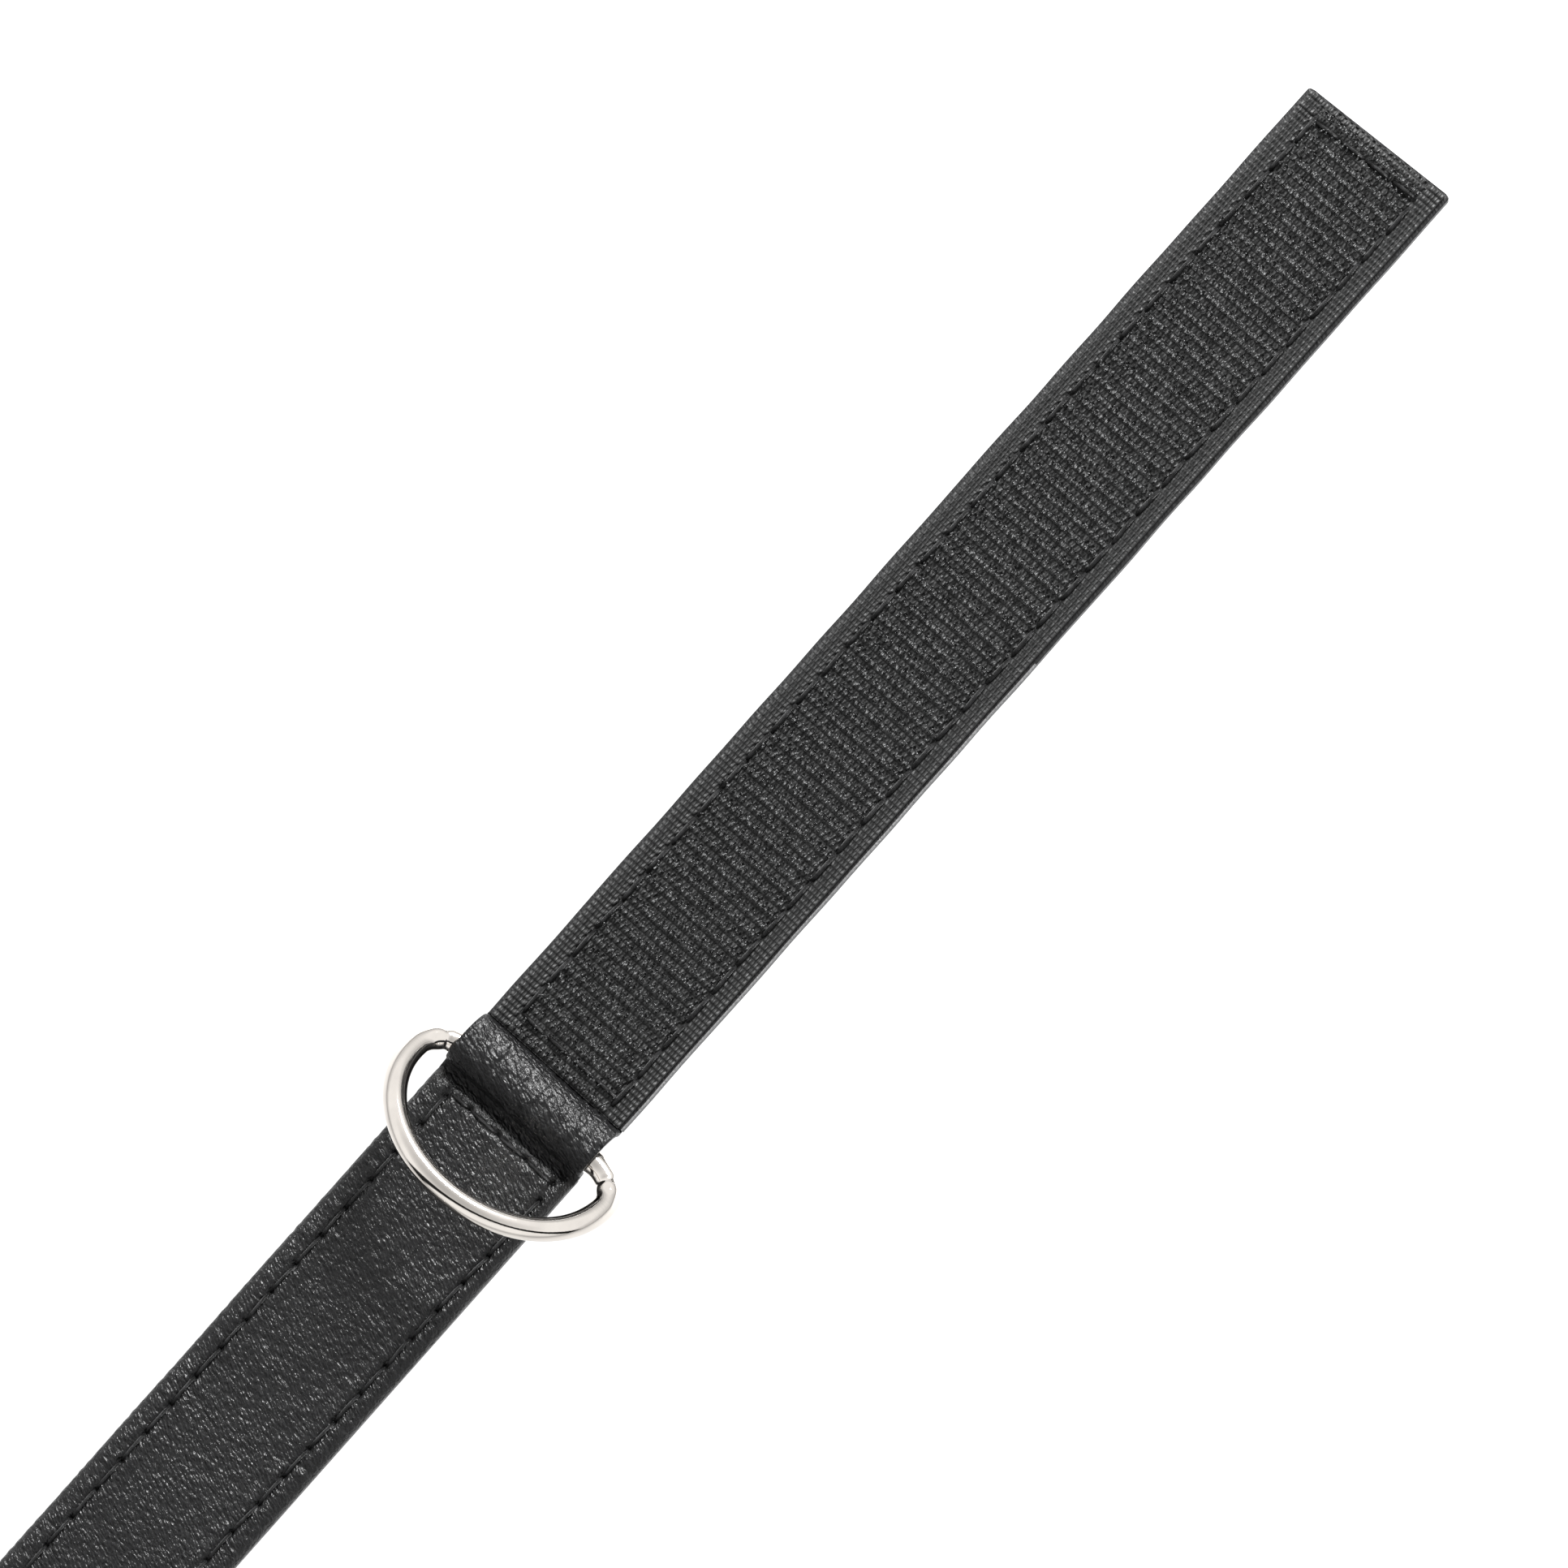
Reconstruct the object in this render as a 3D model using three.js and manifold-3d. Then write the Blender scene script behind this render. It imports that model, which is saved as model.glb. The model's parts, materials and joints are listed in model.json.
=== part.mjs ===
// Collar strap with a hook-and-loop closure and a D-ring held in a leather roll at each end of its
// neck band. Millimetres, +Z up. It lies flat on its lining at z = 0, outer face up, length along X,
// with the hook tongue at +X and the loop lap at -X. Each hinge line is on the inner face, z = 0.
import * as THREE from 'three';
import { mergeVertices } from 'three/addons/utils/BufferGeometryUtils.js';
import Module from 'manifold-3d';

const wasm = await Module();
wasm.setup();

// Strap
const STRAP_W = 20.3; // width of the leather
const FACE_TOP = 3.0; // outer face of the neck band
const EDGE_R = 1.15; // rounding of the turned edge
const HINGE_GAP = 0.3; // space between two neighbouring lengths
const CURL_DEG = 45; // bend of every hinge in the closed collar

// Lengths between hinge lines, from the tongue's tip to the lap's end
const TONGUE_SEG = 46.5;
const END_LEN = 30.0;
const BAND_MID = 46.0;
const LAP_UNDER = 2.5; // the lap's hinge line lies this far beyond the tongue's tip when closed
const LAP_RISE = 3.5; // the lap's inner face lies this far outside the tongue's inner face
const BAND_A = TONGUE_SEG + (TONGUE_SEG - BAND_MID) * Math.SQRT1_2 + LAP_UNDER;
const BAND_B = TONGUE_SEG + (TONGUE_SEG - BAND_MID) * Math.SQRT1_2 + LAP_RISE;
const LAP_FIRST = TONGUE_SEG + LAP_RISE * Math.tan((CURL_DEG * Math.PI) / 360) + LAP_UNDER;
const LAP_LAST = 38.0;

// Layers of the neck band
const LINING_TOP = 0.9;
const LINING_W = 17.4;
const CORE_LOW = 1.0;
const CORE_TOP = 1.9;
const CORE_W = 16.8;
const SHEET_LOW = 2.0; // underside of the face leather
const WRAP_IN = 8.9; // inner side of the turned edge, from the middle
const WRAP_LOW = 0.2;

// Tongue
const BACKING_TOP = 1.3;
const TAPE_LOW = 1.4;
const TAPE_BASE = 2.1; // top of the woven base
const HOOK_TOP = 2.9;
const TAPE_W = 19.2;
const HOOK_W = 14.0; // width of the field of hooks, between the sewn rows
const TIP_SKEW = 0.85; // the tip is cut this much out of square
const TIP_R = 0.6;

// Lap
const PILE_W = 15.6;
const PILE_TOP = 0.5;
const LOOP_TOP = 1.2;
const LAP_LOW = 1.3;
const LAP_TOP = 2.9;

// D-ring and the leather roll that holds its bar
const WIRE_R = 1.4;
const RING_IN_W = 25.0; // clear width inside the ring
const RING_CORNER = 4.2; // centre-line radius where the bar meets the bow
const BOW_DEPTH = 0.92; // the bow's depth as a share of its half width
const RING_TILT = 41.5; // the ring stands this far off the strap at rest, degrees
const RING_SHIFT = 0.8; // sideways play taken up at rest
const BAR_Z = 2.7;
const BAR_IN = 4.6; // bar to the hinge line beside it
const ROLL_R = 2.5;
const TUNNEL_R = 1.72;
const DRAPE_END = 1.9; // height at which the roll's leather meets the tape
const CROSS_ROW = 9.4; // stitched row across the band, from the hinge line

// Threads
const THREAD_W = 0.6;
const THREAD_H = 0.3;
const BAND_SEAM_IN = 2.6; // row to the strap's edge
const TAPE_SEAM_IN = 2.6;
const SEAM_GROOVE = 0.5; // half the width of the gap in the hooks at a cross row
const TAPE_END_IN = 2.5; // cross row to the tape's end
const SKIN = 0.02;

const LENGTHS = {
  tongue_1: TONGUE_SEG, tongue_2: TONGUE_SEG, tongue_3: TONGUE_SEG, end_a: END_LEN,
  band_1: BAND_A, band_2: BAND_MID, band_3: BAND_B, end_b: END_LEN,
  lap_1: LAP_FIRST, lap_2: LAP_LAST,
};
const TOTAL = Object.values(LENGTHS).reduce((sum, length) => sum + length, 0);

// Start and end of every length along X, already drawn in by half a hinge gap where two meet.
function layOut() {
  const spans = {};
  let high = TOTAL / 2;
  for (const [name, length] of Object.entries(LENGTHS)) {
    const low = high - length;
    spans[name] = {
      x0: low + (name === 'lap_2' ? 0 : HINGE_GAP / 2),
      x1: high - (name === 'tongue_1' ? 0 : HINGE_GAP / 2),
      hingeLow: low,
      hingeHigh: high,
    };
    high = low;
  }
  return spans;
}
const SPAN = layOut();

const finish = (color, roughness, metalness = 0) =>
  new THREE.MeshStandardMaterial({ color, roughness, metalness });
const LEATHER = finish(0x2b2b2d, 0.5);
const LINING = finish(0x333335, 0.7);
const WEBBING = finish(0x26262a, 0.9);
const HOOKS = finish(0x2e2e30, 0.6);
const PILE = finish(0x1f1f22, 0.95);
const THREAD = finish(0x1a1a1c, 0.6);
const NICKEL = finish(0xc9c6c1, 0.12, 1.0);

const group = new THREE.Group();

function addNode(name, geometry, material) {
  geometry.computeVertexNormals();
  const mesh = new THREE.Mesh(geometry, material);
  mesh.name = name;
  group.add(mesh);
}

const polygon = (points) => new THREE.Shape(points.map(([a, b]) => new THREE.Vector2(a, b)));

function weld(geometry) {
  geometry.deleteAttribute('uv');
  geometry.deleteAttribute('normal');
  return mergeVertices(geometry, 1e-4);
}

// A section in Y and Z, run along X.
function alongX(points, x0, x1) {
  const solid = new THREE.ExtrudeGeometry(polygon(points), { depth: x1 - x0, bevelEnabled: false });
  const toX = new THREE.Matrix4().set(0, 0, 1, x0, 1, 0, 0, 0, 0, 1, 0, 0, 0, 0, 0, 1);
  return weld(solid.applyMatrix4(toX));
}

// A section in X and Z, run along Y between -half and half.
function alongY(points, half) {
  const solid = new THREE.ExtrudeGeometry(polygon(points), { depth: 2 * half, bevelEnabled: false });
  const toY = new THREE.Matrix4().set(1, 0, 0, 0, 0, 0, -1, half, 0, 1, 0, 0, 0, 0, 0, 1);
  return weld(solid.applyMatrix4(toY));
}

// An outline in X and Y, run up Z.
function alongZ(points, z0, z1) {
  const solid = new THREE.ExtrudeGeometry(polygon(points), { depth: z1 - z0, bevelEnabled: false });
  return weld(solid.translate(0, 0, z0));
}

function toManifold(geometry) {
  const positions = geometry.attributes.position.array;
  return new wasm.Manifold(new wasm.Mesh({
    numProp: 3,
    vertProperties: Float32Array.from(positions),
    triVerts: Uint32Array.from(geometry.index.array),
  }));
}

function fromManifold(solid) {
  const { vertProperties, triVerts, numProp } = solid.getMesh();
  const positions = new Float32Array((vertProperties.length / numProp) * 3);
  for (let i = 0; i < positions.length / 3; i += 1) {
    for (let k = 0; k < 3; k += 1) positions[3 * i + k] = vertProperties[numProp * i + k];
  }
  const geometry = new THREE.BufferGeometry();
  geometry.setAttribute('position', new THREE.BufferAttribute(positions, 3));
  geometry.setIndex(new THREE.BufferAttribute(Uint32Array.from(triVerts), 1));
  return geometry;
}

function arc(cx, cy, r, fromDeg, toDeg, steps) {
  const points = [];
  for (let i = 0; i <= steps; i += 1) {
    const a = ((fromDeg + ((toDeg - fromDeg) * i) / steps) * Math.PI) / 180;
    points.push([cx + r * Math.cos(a), cy + r * Math.sin(a)]);
  }
  return points;
}

const slab = (width, low, high) => {
  const h = width / 2;
  return [[-h, low], [h, low], [h, high], [-h, high]];
};

// Face leather of the neck band: a sheet over the core, turned down round both long edges.
function faceSection() {
  const h = STRAP_W / 2;
  const r = EDGE_R;
  const top = FACE_TOP - r;
  return [
    ...arc(h - 0.7, WRAP_LOW + 0.7, 0.7, -90, 0, 4),
    ...arc(h - r, top, r, 0, 90, 6),
    ...arc(-h + r, top, r, 90, 180, 6),
    ...arc(-h + 0.7, WRAP_LOW + 0.7, 0.7, 180, 270, 4),
    [-WRAP_IN, WRAP_LOW], [-WRAP_IN, SHEET_LOW], [WRAP_IN, SHEET_LOW], [WRAP_IN, WRAP_LOW],
  ];
}

function tapeSection(width, field, base, low, high) {
  const h = width / 2;
  const f = field / 2;
  return [[-h, low], [h, low], [h, base], [f, base], [f - 0.2, high], [-f + 0.2, high], [-f, base],
    [-h, base]];
}

function lapSection() {
  const h = STRAP_W / 2;
  return [
    ...arc(h - 0.3, LAP_LOW + 0.3, 0.3, -90, 0, 2),
    ...arc(h - 0.9, LAP_TOP - 0.9, 0.9, 0, 90, 5),
    ...arc(-h + 0.9, LAP_TOP - 0.9, 0.9, 90, 180, 5),
    ...arc(-h + 0.3, LAP_LOW + 0.3, 0.3, 180, 270, 2),
  ];
}

// Everything beyond the oblique, round-cornered tip is cut off. inset moves the cut inwards.
function tipCut(geometry, width, inset) {
  const x = SPAN.tongue_1.x1 - inset;
  const h = width / 2;
  const slope = TIP_SKEW / STRAP_W;
  const low = x - slope * (STRAP_W / 2 - h);
  const high = x - slope * (STRAP_W / 2 + h);
  const outline = [
    [SPAN.tongue_1.x0 - 1, -h - 1], [low - TIP_R - 1, -h - 1], [low - TIP_R - 1, -h],
    ...arc(low - TIP_R, -h + TIP_R, TIP_R, -90, 0, 5),
    ...arc(high - TIP_R, h - TIP_R, TIP_R, 0, 90, 5),
    [high - TIP_R - 1, h], [high - TIP_R - 1, h + 1], [SPAN.tongue_1.x0 - 1, h + 1],
  ];
  return fromManifold(toManifold(geometry).intersect(toManifold(alongZ(outline, -1, 5))));
}

function lapEndCut(geometry, width, inset) {
  const x = SPAN.lap_2.x0 + inset;
  const h = width / 2;
  const r = 2.0;
  const outline = [
    [SPAN.lap_2.x1 + 1, -h - 1], [SPAN.lap_2.x1 + 1, h + 1], [x + r + 1, h + 1], [x + r + 1, h],
    ...arc(x + r, h - r, r, 90, 180, 6),
    ...arc(x + r, -h + r, r, 180, 270, 6),
    [x + r + 1, -h], [x + r + 1, -h - 1],
  ];
  return fromManifold(toManifold(geometry).intersect(toManifold(alongZ(outline, -1, 5))));
}

// Straight rows of thread, joined by cross rows at x values given in ends.
function seam(x0, x1, inFromEdge, z, ends) {
  const y = STRAP_W / 2 - inFromEdge;
  const w = THREAD_W / 2;
  const row = (xa, ya, xb, yb) => toManifold(alongZ(
    [[xa, ya], [xb, ya], [xb, yb], [xa, yb]], z + SKIN, z + SKIN + THREAD_H));
  let solid = row(x0, y - w, x1, y + w).add(row(x0, -y - w, x1, -y + w));
  for (const x of ends) solid = solid.add(row(x - w, -y - w, x + w, y + w));
  return fromManifold(solid);
}

function thread(x0, x1, y, z) {
  const w = THREAD_W / 2;
  return alongZ([[x0, y - w], [x1, y - w], [x1, y + w], [x0, y + w]], z + SKIN, z + SKIN + THREAD_H);
}

function buildTongue() {
  const y = STRAP_W / 2 - TAPE_SEAM_IN;
  const z = TAPE_BASE;
  for (const n of [1, 2, 3]) {
    const { x0, x1 } = SPAN[`tongue_${n}`];
    let backing = alongX(slab(STRAP_W, 0, BACKING_TOP), x0, x1);
    let tape = alongX(tapeSection(TAPE_W, HOOK_W, TAPE_BASE, TAPE_LOW, HOOK_TOP), x0, x1);
    const cross = n === 1 ? x1 - TIP_SKEW / 2 - TAPE_END_IN : x0 + TAPE_END_IN;
    if (n === 1) {
      backing = tipCut(backing, STRAP_W, 0);
      tape = tipCut(tape, TAPE_W, 0.4);
    }
    if (n !== 2) tape = grooved(tape, cross);
    addNode(`tongue_backing_${n}`, backing, LEATHER);
    addNode(`hook_tape_${n}`, tape, HOOKS);
    if (n === 2) {
      addNode('tongue_seam_2_left', thread(x0, x1, y, z), THREAD);
      addNode('tongue_seam_2_right', thread(x0, x1, -y, z), THREAD);
    } else {
      const ends = n === 1 ? [x0, cross + THREAD_W / 2] : [cross - THREAD_W / 2, x1];
      addNode(`tongue_seam_${n}`, seam(ends[0], ends[1], TAPE_SEAM_IN, z, [cross]), THREAD);
    }
  }
}

// The hooks are missing along a cross row, where the thread lies on the woven base.
function grooved(tape, cross) {
  const h = STRAP_W / 2;
  const cut = alongX([[-h, TAPE_BASE], [h, TAPE_BASE], [h, HOOK_TOP + 1], [-h, HOOK_TOP + 1]],
    cross - SEAM_GROOVE, cross + SEAM_GROOVE);
  return fromManifold(toManifold(tape).subtract(toManifold(cut)));
}

function buildBand() {
  const y = STRAP_W / 2 - BAND_SEAM_IN;
  for (const n of [1, 2, 3]) {
    const { x0, x1 } = SPAN[`band_${n}`];
    addNode(`band_lining_${n}`, alongX(slab(LINING_W, 0, LINING_TOP), x0, x1), LINING);
    addNode(`band_core_${n}`, alongX(slab(CORE_W, CORE_LOW, CORE_TOP), x0, x1), WEBBING);
    addNode(`band_face_${n}`, alongX(faceSection(), x0, x1), LEATHER);
    addNode(`band_seam_${n}_left`, thread(x0, x1, y, FACE_TOP), THREAD);
    addNode(`band_seam_${n}_right`, thread(x0, x1, -y, FACE_TOP), THREAD);
  }
}

// Leather falling from the top of the roll to the start of the tape.
function drape(foot, top, steps) {
  const points = [];
  for (let i = 1; i <= steps; i += 1) {
    const t = (Math.PI * i) / (2 * steps);
    points.push([foot * Math.sin(t), DRAPE_END + (top - DRAPE_END) * Math.cos(t)]);
  }
  return points;
}

// side is +1 where the tongue or lap lies towards +X of the bar, -1 where it lies towards -X.
function rollFace(x0, x1, bar, side) {
  const outer = side > 0 ? x1 : x0;
  const plate = side > 0
    ? alongX(faceSection(), x0, bar - 1)
    : alongX(faceSection(), bar + 1, x1);
  const foot = Math.abs(outer - bar);
  const roll = [
    ...arc(0, BAR_Z, ROLL_R, 180, 90, 10),
    ...drape(foot, BAR_Z + ROLL_R, 10),
    [foot, CORE_LOW], [-ROLL_R, CORE_LOW],
  ].map(([a, b]) => [bar + side * a, b]);
  const tunnel = new THREE.CylinderGeometry(TUNNEL_R, TUNNEL_R, STRAP_W + 4, 28);
  const under = alongX([[-WRAP_IN, -1], [WRAP_IN, -1], [WRAP_IN, CORE_LOW], [-WRAP_IN, CORE_LOW]],
    x0 - 1, x1 + 1);
  const solid = toManifold(plate)
    .add(toManifold(alongY(roll, STRAP_W / 2)))
    .subtract(toManifold(under))
    .subtract(toManifold(weld(tunnel.translate(bar, 0, BAR_Z))));
  return fromManifold(solid);
}

function buildEnd(tag, side) {
  const { x0, x1 } = SPAN[`end_${tag}`];
  const hinge = side > 0 ? SPAN.end_a.hingeHigh : SPAN.end_b.hingeLow;
  const bar = hinge - side * BAR_IN;
  const inner = bar - side * (ROLL_R + 0.2);
  const core = side > 0 ? [x0, inner] : [inner, x1];
  const cross = hinge - side * CROSS_ROW;
  const rows = side > 0 ? [x0, cross + THREAD_W / 2] : [cross - THREAD_W / 2, x1];
  addNode(`end_lining_${tag}`, alongX(slab(LINING_W, 0, LINING_TOP), x0, x1), LINING);
  addNode(`end_core_${tag}`, alongX(slab(CORE_W, CORE_LOW, CORE_TOP), core[0], core[1]), WEBBING);
  addNode(`end_face_${tag}`, rollFace(x0, x1, bar, side), LEATHER);
  addNode(`end_seam_${tag}`, seam(rows[0], rows[1], BAND_SEAM_IN, FACE_TOP, [cross]), THREAD);
  addNode(`d_ring_${tag}`, ring(bar, -side * RING_SHIFT, side), NICKEL);
}

// Centre line of the ring: y across the strap, q away from the bar.
function ringPath() {
  const R = RING_IN_W / 2 + WIRE_R;
  const c = RING_CORNER;
  const points = [
    ...arc(R - c, c, c, -90, 0, 8),
    ...arc(0, c, R, 0, 180, 44).slice(1, -1).map(([y, q]) => [y, c + (q - c) * BOW_DEPTH]),
    ...arc(-R + c, c, c, 180, 270, 8),
  ];
  for (const t of [0.75, 0.5, 0.25]) points.push([-(R - c) * (2 * t - 1), 0]);
  return points;
}

function ring(bar, shift, side) {
  const path = ringPath();
  const sides = 18;
  const a = (RING_TILT * Math.PI) / 180;
  const along = new THREE.Vector3(-side * Math.cos(a), 0, Math.sin(a));
  const normal = new THREE.Vector3(side * Math.sin(a), 0, Math.cos(a));
  const across = new THREE.Vector3(0, 1, 0);
  const start = new THREE.Vector3(bar, shift, BAR_Z);
  const positions = [];
  const index = [];
  path.forEach(([y, q], i) => {
    const before = path[(i + path.length - 1) % path.length];
    const after = path[(i + 1) % path.length];
    const dy = after[0] - before[0];
    const dq = after[1] - before[1];
    const n = Math.hypot(dy, dq);
    const out = across.clone().multiplyScalar(dq / n).addScaledVector(along, -dy / n);
    const centre = start.clone().addScaledVector(across, y).addScaledVector(along, q);
    for (let k = 0; k < sides; k += 1) {
      const t = (2 * Math.PI * k) / sides;
      const p = centre.clone()
        .addScaledVector(out, WIRE_R * Math.cos(t))
        .addScaledVector(normal, WIRE_R * Math.sin(t));
      positions.push(p.x, p.y, p.z);
      const j = (i + 1) % path.length;
      const l = (k + 1) % sides;
      const quad = [i * sides + k, j * sides + k, j * sides + l, i * sides + l];
      index.push(quad[0], quad[1], quad[2], quad[0], quad[2], quad[3]);
    }
  });
  const geometry = new THREE.BufferGeometry();
  geometry.setAttribute('position', new THREE.BufferAttribute(new Float32Array(positions), 3));
  geometry.setIndex(index);
  if (signedVolume(geometry) < 0) geometry.setIndex(flipped(index));
  return geometry;
}

function signedVolume(geometry) {
  const p = geometry.attributes.position;
  const index = geometry.index.array;
  const [a, b, c] = [new THREE.Vector3(), new THREE.Vector3(), new THREE.Vector3()];
  let sum = 0;
  for (let i = 0; i < index.length; i += 3) {
    a.fromBufferAttribute(p, index[i]);
    b.fromBufferAttribute(p, index[i + 1]);
    c.fromBufferAttribute(p, index[i + 2]);
    sum += a.dot(b.cross(c));
  }
  return sum;
}

function flipped(index) {
  const out = [];
  for (let i = 0; i < index.length; i += 3) out.push(index[i], index[i + 2], index[i + 1]);
  return out;
}

function buildLap() {
  for (const n of [1, 2]) {
    const { x0, x1 } = SPAN[`lap_${n}`];
    let face = alongX(lapSection(), x0, x1);
    const h = TAPE_W / 2;
    const f = PILE_W / 2;
    let loops = alongX([[-f, 0], [f, 0], [f, PILE_TOP], [h, PILE_TOP], [h, LOOP_TOP],
      [-h, LOOP_TOP], [-h, PILE_TOP], [-f, PILE_TOP]], x0, x1);
    if (n === 2) {
      face = lapEndCut(face, STRAP_W, 0);
      loops = lapEndCut(loops, TAPE_W, 0.4);
    }
    addNode(`lap_face_${n}`, face, LEATHER);
    addNode(`loop_tape_${n}`, loops, PILE);
    const cross = n === 1 ? x1 - TAPE_END_IN : x0 + TAPE_END_IN;
    const rows = n === 1 ? [x0, cross + THREAD_W / 2] : [cross - THREAD_W / 2, x1];
    addNode(`lap_seam_${n}`, seam(rows[0], rows[1], BAND_SEAM_IN, LAP_TOP, [cross]), THREAD);
  }
}

buildTongue();
buildEnd('a', 1);
buildBand();
buildEnd('b', -1);
buildLap();

export default group;
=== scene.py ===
"""Looks of a leather collar strap: hook-and-loop ends, two D-rings in leather rolls, sewn edges."""

import json
import logging
import math
from dataclasses import dataclass, field
from enum import Enum
from itertools import product
from typing import Callable

import bpy
import numpy as np
from mathutils import Matrix, Vector


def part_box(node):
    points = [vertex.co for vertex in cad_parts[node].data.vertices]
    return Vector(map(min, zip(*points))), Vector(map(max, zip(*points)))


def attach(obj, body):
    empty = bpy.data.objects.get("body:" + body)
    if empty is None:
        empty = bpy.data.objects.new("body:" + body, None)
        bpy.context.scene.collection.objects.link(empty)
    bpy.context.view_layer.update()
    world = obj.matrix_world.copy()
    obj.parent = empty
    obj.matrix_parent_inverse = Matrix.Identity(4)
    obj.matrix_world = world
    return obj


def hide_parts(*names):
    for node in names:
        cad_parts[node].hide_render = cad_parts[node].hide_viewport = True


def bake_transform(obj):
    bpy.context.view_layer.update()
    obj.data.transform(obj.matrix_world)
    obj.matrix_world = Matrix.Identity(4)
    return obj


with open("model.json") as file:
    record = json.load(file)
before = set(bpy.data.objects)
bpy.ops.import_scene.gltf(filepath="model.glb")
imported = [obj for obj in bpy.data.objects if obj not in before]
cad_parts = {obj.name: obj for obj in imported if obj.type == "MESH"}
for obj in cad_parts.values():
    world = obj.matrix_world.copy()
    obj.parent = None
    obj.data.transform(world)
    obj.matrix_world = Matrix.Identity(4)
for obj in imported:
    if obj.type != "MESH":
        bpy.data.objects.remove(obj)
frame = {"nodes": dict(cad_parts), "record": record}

LOG = logging.getLogger("collar")
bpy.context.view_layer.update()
MM = 0.001
Array = np.ndarray
Colour = tuple[float, float, float]

# Sizes in mm. Heights are above the surface that the open strap lies on.
HALF_W = 10.15  # half the strap's width
FACE_TOP = 3.0  # outer face of the neck band
BACKING_TOP = 1.3  # top of the tongue's leather
TAPE_TOP = 2.1  # top of the hook tape's woven base
TAPE_HALF = 9.6  # half the width of both tapes
HOOK_HALF = 7.55  # half the width of the field of hooks
LAP_LOW, LAP_TOP = 1.3, 2.9  # underside and top of the lap's leather
STITCH = 4.2  # distance between two needle holes
ROW_SHIFT = 1.7  # from the +Y row's needle holes to the -Y row's
GROOVE_DEEP, GROOVE_WIDE = 0.18, 0.32  # the dent along a sewn row
HOLE_DEEP, HOLE_WIDE = 0.6, 0.36  # the dent at a needle hole
BAR_IN = 4.6  # a ring's bar to the hinge line beside it
BAR_Z = 2.7  # height of the bar
BAND_END = 2.75  # a ring's bar to the end of the neck band's leather
BEND = 7.0  # the strap bends this far to each side of a hinge
ROOT_BEND = BEND + 2  # and this far beyond a ring, to one side only


class Side(Enum):
    """Which way the tongue or lap lies from a ring's bar."""

    TONGUE = 1
    LAP = -1


def hinge_x(name: str) -> float:
    """Return a joint's place along the strap in mm.

    Args:
        name: the joint's name in the record.

    Returns:
        Its X in mm.
    """
    joint = next(j for j in frame["record"]["behaviour"]["joints"] if j["name"] == name)
    return joint["pos_m"][0] / MM


def edge_x(node: str, high: bool) -> float:
    """Return a CAD node's lowest or highest X in mm."""
    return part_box(node)[1 if high else 0][0] / MM


H_TONGUE_1, H_TONGUE_2 = hinge_x("curl_tongue_1"), hinge_x("curl_tongue_2")
H_TONGUE_3, H_END_A = hinge_x("curl_tongue_3"), hinge_x("curl_end_a")
H_BAND_1, H_BAND_3 = hinge_x("curl"), hinge_x("curl_band_3")
H_END_B, H_LAP_1, H_LAP_2 = hinge_x("curl_end_b"), hinge_x("lap_bend"), hinge_x("lap_bend_tip")
TIP_X = edge_x("tongue_backing_1", True)
LAP_X = edge_x("lap_face_2", False)
BAR_A, BAR_B = hinge_x("ring_a_swing"), hinge_x("ring_b_swing")


@dataclass(frozen=True)
class Span:
    """A stretch of strap that bends over one hinge, from the middle of one length to the next.

    Attributes:
        name: start of its pieces' names.
        low_body: body on the -X side.
        high_body: body on the +X side.
        x0: lowest X in mm.
        x1: highest X in mm.
        bend: where the bend starts and ends, in mm. Not used.
    """

    name: str
    low_body: str
    high_body: str
    x0: float
    x1: float
    bend: tuple[float, float]


def mid(a: float, b: float) -> float:
    """Return the middle of two numbers."""
    return (a + b) / 2


TONGUE_SPANS = (
    Span("tongue_tip", "tongue_2", "tongue_1", mid(H_TONGUE_1, H_TONGUE_2), TIP_X,
         (H_TONGUE_1 - BEND, H_TONGUE_1 + BEND)),
    Span("tongue_mid", "tongue_3", "tongue_2", mid(H_TONGUE_2, H_TONGUE_3),
         mid(H_TONGUE_1, H_TONGUE_2), (H_TONGUE_2 - BEND, H_TONGUE_2 + BEND)),
    Span("tongue_root", "end_a", "tongue_3", H_TONGUE_3 + 0.02, mid(H_TONGUE_2, H_TONGUE_3),
         (H_TONGUE_3, H_TONGUE_3 + ROOT_BEND)),
)
BAND_SPANS = (
    Span("neck_a", "band_1", "end_a", mid(H_END_A, H_BAND_1), BAR_A - BAND_END,
         (H_END_A - BEND, H_END_A + BEND)),
    Span("neck_mid_a", "band_2", "band_1", mid(H_BAND_1, H_BAND_3), mid(H_END_A, H_BAND_1),
         (H_BAND_1 - BEND, H_BAND_1 + BEND)),
    Span("neck_mid_b", "band_3", "band_2", mid(H_BAND_3, H_END_B), mid(H_BAND_1, H_BAND_3),
         (H_BAND_3 - BEND, H_BAND_3 + BEND)),
    Span("neck_b", "end_b", "band_3", BAR_B + BAND_END, mid(H_BAND_3, H_END_B),
         (H_END_B - BEND, H_END_B + BEND)),
)
LAP_SPANS = (
    Span("lap_root", "lap_1", "end_b", mid(H_LAP_1, H_LAP_2), H_LAP_1 - 0.02,
         (H_LAP_1 - ROOT_BEND, H_LAP_1)),
    Span("lap_end", "lap_2", "lap_1", LAP_X, mid(H_LAP_1, H_LAP_2),
         (H_LAP_2 - BEND, H_LAP_2 + BEND)),
)


# ---------------------------------------------------------------- uneven surfaces


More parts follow.
